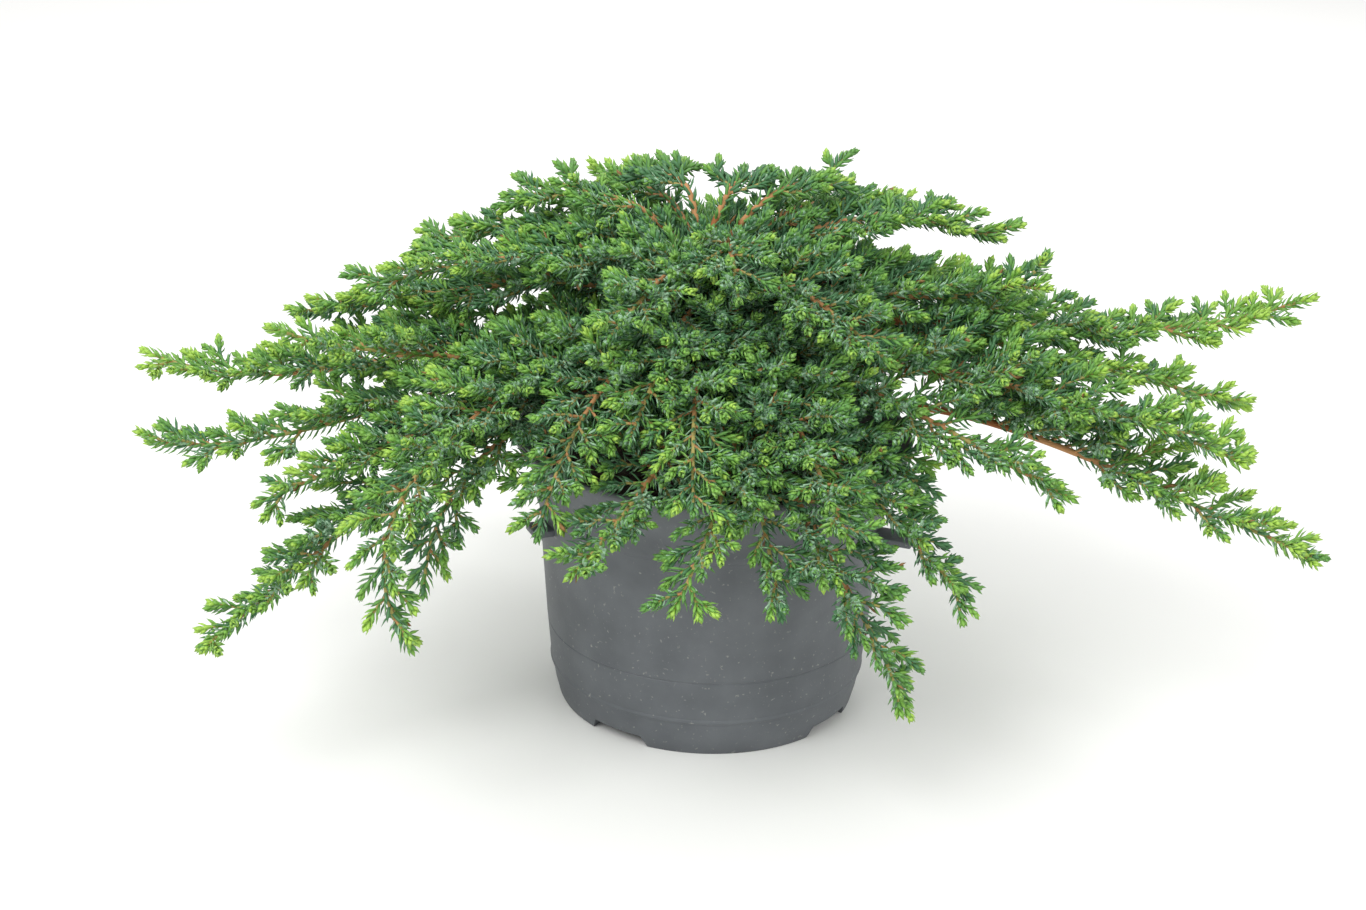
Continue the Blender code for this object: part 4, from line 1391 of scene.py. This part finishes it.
@dataclass
class NeedleBed:
    """All the needles of one region, in whorls of three that close up and shorten towards a tip.

    Each row holds a needle's place, its heading and its inner side, its length and width, and the
    places of its tone and of its band's in NeedleTone. A needle leans from its shoot by an angle in
    degrees, and a whorl is turned about the shoot by one in radians.
    """

    form: NeedleForm = NeedleForm()
    colours: ToneDeal = ToneDeal()
    whorl: int = 3
    longest: float = 6.7 * MM
    length: tuple[float, float] = (0.84, 1.08)
    width: tuple[float, float] = (0.88, 1.1)
    old_pitch: float = 2.7 * MM
    new_pitch: float = 1.15 * MM
    bare_end: float = 0.3 * MM
    tip_zone: float = 9 * MM
    close_zones: float = 1.6
    tip_shortening: float = 0.44
    tip_power: float = 1.3
    tip_widening: float = 0.28
    lean: float = 42
    tip_lean: float = 23
    lean_spread: float = 5.5
    turn: float = 6
    turn_spread: float = 0.14
    pot_space: float = 0.3 * MM
    ground_space: float = 1 * MM
    rows: list[np.ndarray] = field(default_factory=list)

    def marks(self, sprig: Sprig) -> list[float]:
        """Find where along a sprig its whorls are.

        Args:
            sprig: the shoot.

        Returns:
            The length from its root to each whorl.
        """
        found = []
        at = sprig.leafy
        while at < sprig.line.length - self.bare_end:
            found.append(at)
            left = sprig.line.length - at
            share = min(1.0, left / (self.close_zones * self.tip_zone))
            at += self.new_pitch + (self.old_pitch - self.new_pitch) * share
        return found

    def cover(self, sprig: Sprig, chance: np.random.Generator) -> None:
        """Set a sprig with needles, which lie closer to the shoot towards its tip.

        Args:
            sprig: the shoot.
            chance: the seeded source of differences.
        """
        marks = np.repeat(np.array(self.marks(sprig)), self.whorl)
        count = len(marks)
        if not count:
            return
        heading, across, upper = self.at_marks(sprig, marks)
        whorl = np.arange(count) // self.whorl
        angle = (whorl * math.pi / 3 + np.arange(count) % self.whorl * 2 * math.pi / 3
                 + chance.uniform(0, self.turn) + chance.normal(0, self.turn_spread, count))
        out = across * np.cos(angle)[:, None] + upper * np.sin(angle)[:, None]
        left = sprig.line.length - marks
        young = np.clip(1 - left / self.tip_zone, 0, 1)
        lean = np.radians(self.lean - self.tip_lean * young + chance.normal(0, self.lean_spread, count))
        forward = heading * np.cos(lean)[:, None] + out * np.sin(lean)[:, None]
        inner = heading * np.sin(lean)[:, None] - out * np.cos(lean)[:, None]
        shorter = 1 - self.tip_shortening * young ** self.tip_power
        length = self.longest * sprig.vigour * shorter * chance.uniform(*self.length, count)
        wider = 1 + self.tip_widening * young
        width = self.form.width * wider * chance.uniform(*self.width, count)
        tone, band = self.colours.deal(sprig.light, young, chance)
        places = sprig.line.spots(marks)
        self.rows.append(np.column_stack((places, forward, inner, length, width, tone, band)))

    @staticmethod
    def at_marks(sprig: Sprig, marks: np.ndarray) -> list[np.ndarray]:
        """Find a sprig's directions at some lengths.

        Args:
            sprig: the shoot.
            marks: lengths from its root.

        Returns:
            Its heading, side and upper direction there, one row for each length.
        """
        found = []
        for block in framed(sprig.line.points):
            axes = [np.interp(marks, sprig.line.lengths, block[:, axis]) for axis in range(3)]
            turned = np.stack(axes, axis=-1)
            found.append(turned / np.linalg.norm(turned, axis=1)[:, None])
        return found

    def clear_of(self, room: Room) -> np.ndarray:
        """Sort out the needles that would touch something.

        Args:
            room: the space that is taken.

        Returns:
            The needles whose tips are clear of the pot's shell, the medium and the ground.
        """
        rows = np.vstack(self.rows)
        tips = rows[:, 0:3] + rows[:, 3:6] * rows[:, 9:10]
        pot, medium = room.pot_and_medium(tips)
        return rows[(pot > self.pot_space) & (medium > 0) & (tips[:, 2] > self.ground_space)]


@dataclass
class Foliage:
    """The foliage of every mass: twigs and needles, joined by region into pieces of a fair size."""

    habit: Habit
    most_needles: int = 20000

    def dress(self) -> None:
        """Build the twigs and the needles of each region."""
        needle_skins = [tone.value.build() for tone in NeedleTone]
        twig_skins = [tone.value.build() for tone in TwigTone]
        chance = np.random.default_rng(SEED)
        for region in Region:
            names = [name for name in self.habit.sprigs if name.startswith(region.value)]
            sprigs = [sprig for name in names for sprig in self.habit.sprigs[name]]
            nodes = [f"foliage_{name}" for name in names]
            fit_piece(self.twigs(region, sprigs, twig_skins), nodes)
            bed = NeedleBed()
            for sprig in sprigs:
                bed.cover(sprig, chance)
            rows = bed.clear_of(self.habit.room)
            pieces = math.ceil(len(rows) / self.most_needles)
            for number, share in enumerate(np.array_split(rows, pieces)):
                name = f"needles_{region.value}"
                if pieces > 1:
                    name += f"_{number + 1}"
                fit_piece(bed.form.mesh(name, share, needle_skins), nodes)

    @staticmethod
    def twigs(region: Region, sprigs: list[Sprig], skins: list[bpy.types.Material]) -> bpy.types.Object:
        """Build the stems and shoots of a region as one mesh.

        Args:
            region: the region.
            sprigs: its stems and shoots.
            skins: the materials in the order of TwigTone.

        Returns:
            The piece.
        """
        verts, faces, tones = [], [], []
        start = 0
        for sprig in sprigs:
            points = sprig.line.points
            sides, foot_tone, fresher = sprig.order.value
            share = np.linspace(0, 1, len(points))
            corners, sheets = tube_arrays(points, sprig.thick + (sprig.thin - sprig.thick) * share, sides)
            verts.append(corners)
            faces.append(sheets + start)
            start += len(corners)
            tone = np.floor(foot_tone + share[:-1] * fresher)
            tones.append(np.repeat(np.clip(tone, TwigTone.OLD.place, TwigTone.GREEN.place), sides))
        return mesh_from(f"twigs_{region.value}", np.vstack(verts), [np.vstack(faces)],
                         [np.concatenate(tones)], skins)


@dataclass(frozen=True)
class BarkRelief:
    """The strips that bark peels in: how many go round, how long one is, and how deep it is cut.

    Turns is how fast the pattern changes round the limb, length how far it takes to change along it.
    Every furrow lies inside the limb's radius, so the bark stays in the space of its solid.
    """

    turns: float = 2.2
    length: float = 9 * MM
    furrow: float = 1.8
    sunk: float = 0.1

    def build(self, points: np.ndarray, sides: int, depth: float) -> np.ndarray:
        """Work out the relief of one limb.

        Args:
            points: the limb's middle line.
            sides: how many corners its round has.
            depth: how deep the bark's furrows are.

        Returns:
            How far each corner stands proud, one row a point and one column a side.
        """
        relief = np.zeros((len(points), sides))
        for row, along in enumerate(Path(points).lengths):
            for column in range(sides):
                angle = 2 * math.pi * column / sides
                round_x, round_y = math.cos(angle) * self.turns, math.sin(angle) * self.turns
                place = Vector((round_x, round_y, along / self.length))
                relief[row, column] = -abs(noise.noise(place)) * depth * self.furrow - self.sunk * depth
        return relief


@dataclass
class WoodyFrame:
    """The trunk and the bare boughs, with bark in relief: reddish on the trunk, orange on the boughs."""

    habit: Habit
    trunk_bark: PeelingBark = PeelingBark("old_peeling_bark", "#3d2418", "#7a4630", "#a06a48", 2.1 * MM)
    bough_bark: PeelingBark = PeelingBark("young_bark", "#7d4a2a", "#b0723f", "#c98d58", 1.3 * MM)
    relief: BarkRelief = BarkRelief()
    trunk_depth: float = 0.55 * MM
    bough_depth: float = 0.22 * MM
    trunk_rings: int = 110
    trunk_sides: int = 30
    bough_pitch: float = 0.9 * MM
    bough_sides: int = 16

    def dress(self) -> None:
        """Build the trunk and each bough."""
        shares = np.linspace(0, 1, self.trunk_rings)
        points = np.array([TRUNK.point(share) for share in shares])
        radii = np.array([TRUNK.girth(share) for share in shares])
        relief = self.relief.build(points, self.trunk_sides, self.trunk_depth)
        fit_piece(self.limb("trunk_bark", points, radii, relief, self.trunk_bark.build()), ["trunk"])
        skin = self.bough_bark.build()
        for limb in self.habit.limbs:
            if not limb.plan.bough:
                continue
            points = limb.path.part(0.0, limb.path.length * limb.plan.bough, self.bough_pitch).points
            taper = np.linspace(LIMB.bough_base, LIMB.bough_tip, len(points))
            relief = self.relief.build(points, self.bough_sides, self.bough_depth)
            piece = self.limb(f"bough_bark_{limb.plan.name}", points, taper, relief, skin)
            fit_piece(piece, [f"bough_{limb.plan.name}"])

    @staticmethod
    def limb(name: str, points: np.ndarray, radii: np.ndarray, relief: np.ndarray,
             skin: bpy.types.Material) -> bpy.types.Object:
        """Build one limb with closed ends.

        Args:
            name: the piece's name.
            points: the limb's middle line.
            radii: its radius at each point.
            relief: how far each corner stands proud, one row a point and one column a side.
            skin: its material.

        Returns:
            The piece.
        """
        sides = relief.shape[1]
        verts, faces = tube_arrays(points, radii, sides, relief)
        verts = np.vstack((verts, points[0], points[-1]))
        here = np.arange(sides)
        after = (here + 1) % sides
        last = (len(points) - 1) * sides
        foot = np.stack([after, here, np.full(sides, len(verts) - 2)], axis=-1)
        top = np.stack([last + here, last + after, np.full(sides, len(verts) - 1)], axis=-1)
        caps = np.vstack((foot, top))
        return mesh_from(name, verts, [faces, caps], [np.zeros(len(faces)), np.zeros(len(caps))], [skin])


@dataclass(frozen=True)
class Tab:
    """One tab of the pot: its name, its azimuth in degrees and how far it stands out."""

    name: str
    azimuth: float
    length: float


@dataclass
class NurseryPot:
    """The round pot: tapering wall with its mould lines, ridge, collar, rolled rim, feet and tabs.

    The profile gives radius and height in millimetres, from the inner floor's middle up the inside,
    over the rim and down the outside to the underside's middle.
    """

    finish: MouldedPolypropylene = MouldedPolypropylene()
    profile: tuple[tuple[float, float], ...] = (
        (0.0, 7.0), (56.0, 7.0), (59.2, 8.2), (60.9, 15.0), (66.5, 83.6), (67.2, 86.0), (67.9, 93.0),
        (69.4, 97.2), (71.6, 102.0), (74.4, 107.6), (75.4, 109.8), (75.7, 111.0), (76.2, 111.75),
        (76.9, 112.0), (77.5, 111.8), (77.9, 111.2), (78.0, 110.3), (77.85, 109.3), (77.3, 108.4),
        (76.3, 106.9), (74.6, 104.0), (73.0, 101.2), (71.5, 98.0), (70.3, 94.6), (69.9, 92.2),
        (69.75, 88.0), (69.65, 85.6), (69.3, 84.9), (68.6, 84.3), (68.35, 83.4), (68.3, 82.6),
        (64.62, 33.9), (64.55, 33.4), (64.25, 33.1), (64.25, 32.7), (64.45, 32.4), (62.95, 16.6),
        (63.2, 16.2), (63.25, 15.4), (63.0, 14.8), (62.55, 14.5), (62.2, 13.0), (61.2, 7.5),
        (59.6, 1.3), (59.2, 0.4), (58.8, 0.0), (53.8, 0.0), (53.8, 5.0), (17.0, 5.0), (15.0, 0.0),
        (0.0, 0.0),
    )
    steps: int = 144
    sharp: float = 32
    merge: float = 0.01 * MM
    gap_azimuths: tuple[float, ...] = (-35, 55, 145, 235)
    gap_size: tuple[float, float, float] = (20 * MM, 26 * MM, 9.6 * MM)
    gap_at_top: float = 0.84
    gap_at_ground: float = 1.2
    tabs: tuple[Tab, ...] = (Tab("pot_tab_1", -20, 16 * MM), Tab("pot_tab_2", 203, 8.5 * MM))
    tab_width: float = 11 * MM
    tab_thickness: float = 2.8 * MM
    tab_height: float = 79 * MM
    tab_rounding: float = 0.55 * MM
    tab_sharp: float = 50

    def dress(self) -> None:
        """Build the shell with its feet, and the two tabs."""
        skin = self.finish.build()
        outline = [(radius * MM, height * MM) for radius, height in self.profile]
        verts, faces = turned_arrays(outline, self.steps)
        shell = mesh_from("pot_shell", verts, [faces], [np.zeros(len(faces))], [skin])
        self.weld(shell, self.merge)
        for azimuth in self.gap_azimuths:
            self.cut_gap(shell, azimuth)
        shell.data.set_sharp_from_angle(angle=math.radians(self.sharp))
        fit_piece(shell, ["pot"])
        for tab in self.tabs:
            fit_piece(self.tab(tab, skin), [])

    @staticmethod
    def weld(turned: bpy.types.Object, merge: float) -> None:
        """Join the corners of a turned shape that meet on the axis and turn its faces outwards.

        Args:
            turned: the shape.
            merge: how close two corners are joined.
        """
        mesh = bmesh.new()
        mesh.from_mesh(turned.data)
        bmesh.ops.remove_doubles(mesh, verts=mesh.verts, dist=merge)
        bmesh.ops.recalc_face_normals(mesh, faces=mesh.faces)
        mesh.to_mesh(turned.data)
        mesh.free()

    def cut_gap(self, shell: bpy.types.Object, azimuth: float) -> None:
        """Cut one gap between two feet, a little narrower at its top.

        Args:
            shell: the pot's shell.
            azimuth: the gap's direction in degrees.
        """
        mesh = bmesh.new()
        bmesh.ops.create_cube(mesh, size=1.0)
        bmesh.ops.scale(mesh, vec=self.gap_size, verts=mesh.verts)
        for vert in mesh.verts:
            vert.co.y *= self.gap_at_top if vert.co.z > 0 else self.gap_at_ground
        bmesh.ops.translate(mesh, vec=(POT.foot_radius, 0.0, 0.0), verts=mesh.verts)
        bmesh.ops.rotate(mesh, matrix=Matrix.Rotation(math.radians(azimuth), 3, "Z"), verts=mesh.verts)
        cutter = object_from(mesh, "gap")
        change = shell.modifiers.new("Gap", "BOOLEAN")
        change.operation = "DIFFERENCE"
        change.object = cutter
        bpy.context.view_layer.update()
        graph = bpy.context.evaluated_depsgraph_get()
        cut = bpy.data.meshes.new_from_object(shell.evaluated_get(graph))
        shell.modifiers.clear()
        shell.data = cut
        bpy.data.objects.remove(cutter)

    def tab(self, tab: Tab, skin: bpy.types.Material) -> bpy.types.Object:
        """Build one tab that stands out below the ridge, its edges rounded.

        Args:
            tab: its name, azimuth and length.
            skin: the pot's material.

        Returns:
            The piece.
        """
        mesh = bmesh.new()
        bmesh.ops.create_cube(mesh, size=1.0)
        bmesh.ops.scale(mesh, vec=(tab.length, self.tab_width, self.tab_thickness), verts=mesh.verts)
        bmesh.ops.bevel(mesh, geom=mesh.edges[:], offset=self.tab_rounding, segments=2, affect="EDGES",
                        profile=0.5)
        bmesh.ops.translate(mesh, vec=(POT.ridge_radius - POT.wall + tab.length / 2, 0.0, self.tab_height),
                            verts=mesh.verts)
        bmesh.ops.rotate(mesh, matrix=Matrix.Rotation(math.radians(tab.azimuth), 3, "Z"), verts=mesh.verts)
        piece = object_from(mesh, tab.name, skin)
        piece.data.shade_smooth()
        piece.data.set_sharp_from_angle(angle=math.radians(self.tab_sharp))
        return piece


@dataclass(frozen=True)
class CrumbForm:
    """The loose crumbs of bark on the medium: flat flakes, each turned and tilted by chance.

    They lie evenly within the reach, but for the middle share of its area, where the trunk stands.
    Size is half a crumb's length in millimetres. Its half width, half height and the height of its
    middle are shares of it. Turn and tilt are in radians.
    """

    count: int = 320
    reach: float = 62 * MM
    middle: float = 0.03
    size: tuple[float, float] = (0.7, 2.3)
    narrower: tuple[float, float] = (0.5, 0.9)
    flatter: float = 0.45
    raised: float = 0.15
    turn: float = 6
    tilt: float = 0.5


@dataclass
class PottingMedium:
    """The filling: a crumbly top that rises to the trunk, with loose crumbs of bark on it.

    The top's edge and first ring are radii in millimetres, and the walls give radius and height in
    millimetres, from under that edge to the floor's middle. The lumps' detail is how fast their finer
    parts fade, how much finer each is, and how many there are.
    """

    finish: DampPeat = DampPeat()
    crumb: CrumbForm = CrumbForm()
    steps: int = 120
    rings: int = 40
    first_ring: float = 2
    edge: float = 66.2
    walls: tuple[tuple[float, float], ...] = ((66.2, 84), (60.0, 15), (57.6, 7.3), (0.0, 7.3))
    fall: float = 3.4 * MM
    fall_reach: float = 67 * MM
    lump_size: float = 6 * MM
    lump_height: float = 1.1 * MM
    lump_detail: tuple[float, float, int] = (0.8, 2.1, 4)
    highest_lump: float = 0.8 * MM
    sunk: float = 0.9 * MM
    merge: float = 0.01 * MM

    def height(self, x: float, y: float) -> float:
        """Find how high the top is at a place, never above the solid's.

        Args:
            x: the place to the right of the middle.
            y: the place behind the middle.

        Returns:
            The height above the ground.
        """
        fall = self.fall * min(1.0, math.hypot(x, y) / self.fall_reach) ** 2
        lumps = noise.fractal(Vector((x, y, 0.0)) / self.lump_size, *self.lump_detail) * self.lump_height
        return POT.medium_height - fall - self.sunk + min(self.highest_lump, lumps)

    def dress(self) -> None:
        """Build the filling and its crumbs."""
        skin = self.finish.build()
        radii = [0.0, *np.linspace(self.first_ring, self.edge, self.rings)]
        profile = [(radius * MM, POT.medium_height) for radius in radii]
        profile += [(radius * MM, height * MM) for radius, height in self.walls]
        verts, faces = turned_arrays(profile[::-1], self.steps)
        for vert in verts:
            if vert[2] > self.walls[0][1] * MM:
                vert[2] = self.height(vert[0], vert[1])
        top = mesh_from("growing_medium_top", verts, [faces], [np.zeros(len(faces))], [skin])
        NurseryPot.weld(top, self.merge)
        fit_piece(top, ["growing_medium"])
        fit_piece(self.crumbs(skin), [])

    def crumbs(self, skin: bpy.types.Material) -> bpy.types.Object:
        """Scatter small crumbs of bark over the top as one mesh.

        Args:
            skin: the medium's material.

        Returns:
            The piece.
        """
        crumb = self.crumb
        chance = random.Random(CRUMB_SEED)
        mesh = bmesh.new()
        for _ in range(crumb.count):
            spread = crumb.reach * math.sqrt(chance.uniform(crumb.middle, 1.0))
            angle = chance.uniform(0, 2 * math.pi)
            x, y = spread * math.cos(angle), spread * math.sin(angle)
            size = chance.uniform(*crumb.size) * MM
            turn = Matrix.Rotation(chance.uniform(0, crumb.turn), 4, "Z")
            tilt = Matrix.Rotation(chance.uniform(-crumb.tilt, crumb.tilt), 4, "X")
            narrow = size * chance.uniform(*crumb.narrower)
            shape = Matrix.Diagonal((size, narrow, size * crumb.flatter, 1.0))
            lie = Matrix.Translation((x, y, self.height(x, y) + size * crumb.raised)) @ (turn @ tilt)
            bmesh.ops.create_icosphere(mesh, subdivisions=1, radius=1.0, matrix=lie @ shape)
        return object_from(mesh, "growing_medium_crumbs", skin)


@dataclass(frozen=True)
class SoftLight:
    """One square soft light: its name, where it hangs, the side of its square and its power in watts."""

    name: str
    place: tuple[float, float, float]
    size: float
    power: float

    def hang(self, aim: tuple[float, float, float]) -> None:
        """Hang the light so that it points at a place.

        Args:
            aim: the place.
        """
        lamp = bpy.data.lights.new(self.name, "AREA")
        lamp.energy = self.power
        lamp.size = self.size
        holder = place_in_scene(self.name, lamp)
        holder.location = self.place
        holder.rotation_euler = (Vector(aim) - Vector(self.place)).to_track_quat("-Z", "Y").to_euler()


@dataclass(frozen=True)
class Studio:
    """A pale floor, soft light from above and both sides, and the camera of the photograph.

    The camera stands in front, raised by elevation and rolled by roll, both in degrees, and looks at
    target from a distance. Lens and sensor are in millimetres.
    """

    lens: float = 63.6
    sensor: float = 36.0
    target: tuple[float, float, float] = (-0.0118, 0.0, 0.1005)
    distance: float = 0.95
    elevation: float = 22.0
    roll: float = 1.7
    floor_colour: str = "#f2f2f0"
    floor_roughness: float = 0.9
    floor_size: float = 9.0
    surroundings: float = 0.78
    aim: tuple[float, float, float] = (0.0, 0.0, 0.12)
    lights: tuple[SoftLight, ...] = (
        SoftLight("key", (-0.75, -0.9, 1.35), 1.1, 20.0),
        SoftLight("fill", (1.1, -0.8, 0.8), 1.2, 6.0),
        SoftLight("back", (0.2, 1.1, 1.2), 1.0, 8.0),
    )

    def set_up(self) -> None:
        """Build the floor, the lights and the camera."""
        self.floor()
        world = bpy.data.worlds.new("soft_white")
        bpy.context.scene.world = world
        world.use_nodes = True
        background = world.node_tree.nodes["Background"]
        background.inputs["Color"].default_value = (1.0, 1.0, 1.0, 1.0)
        background.inputs["Strength"].default_value = self.surroundings
        for light in self.lights:
            light.hang(self.aim)
        bpy.context.scene.view_settings.view_transform = "Standard"
        self.camera()

    def floor(self) -> None:
        """Lay a plain floor of matt white paper under the pot."""
        material, shader = blank_material("floor_paper")
        shader.inputs["Base Color"].default_value = linear(self.floor_colour)
        shader.inputs["Roughness"].default_value = self.floor_roughness
        mesh = bmesh.new()
        bmesh.ops.create_grid(mesh, x_segments=1, y_segments=1, size=self.floor_size)
        object_from(mesh, "floor", material)

    def camera(self) -> None:
        """Place the camera where the photograph was taken from."""
        lift = math.radians(self.elevation)
        back = Vector((0.0, -math.cos(lift), math.sin(lift)))
        right = Vector((1.0, 0.0, 0.0))
        turned = Matrix((right, back.cross(right), back)).transposed().to_4x4()
        data = bpy.data.cameras.new("camera")
        data.lens = self.lens
        data.sensor_width = self.sensor
        holder = place_in_scene("camera", data)
        holder.matrix_world = (Matrix.Translation(Vector(self.target) + back * self.distance) @ turned
                               @ Matrix.Rotation(math.radians(self.roll), 4, "Z"))
        bpy.context.scene.camera = holder


def main() -> None:
    """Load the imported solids, dress them piece by piece and report each one."""
    logging.basicConfig(level=logging.INFO, format="%(name)s: %(message)s")
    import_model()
    habit = Habit()
    habit.lay_out()
    habit.grow()
    LOG.info("%d stems and shoots", sum(len(sprigs) for sprigs in habit.sprigs.values()))
    NurseryPot().dress()
    PottingMedium().dress()
    WoodyFrame(habit).dress()
    Foliage(habit).dress()
    Studio().set_up()


if __name__ == "__main__":
    main()
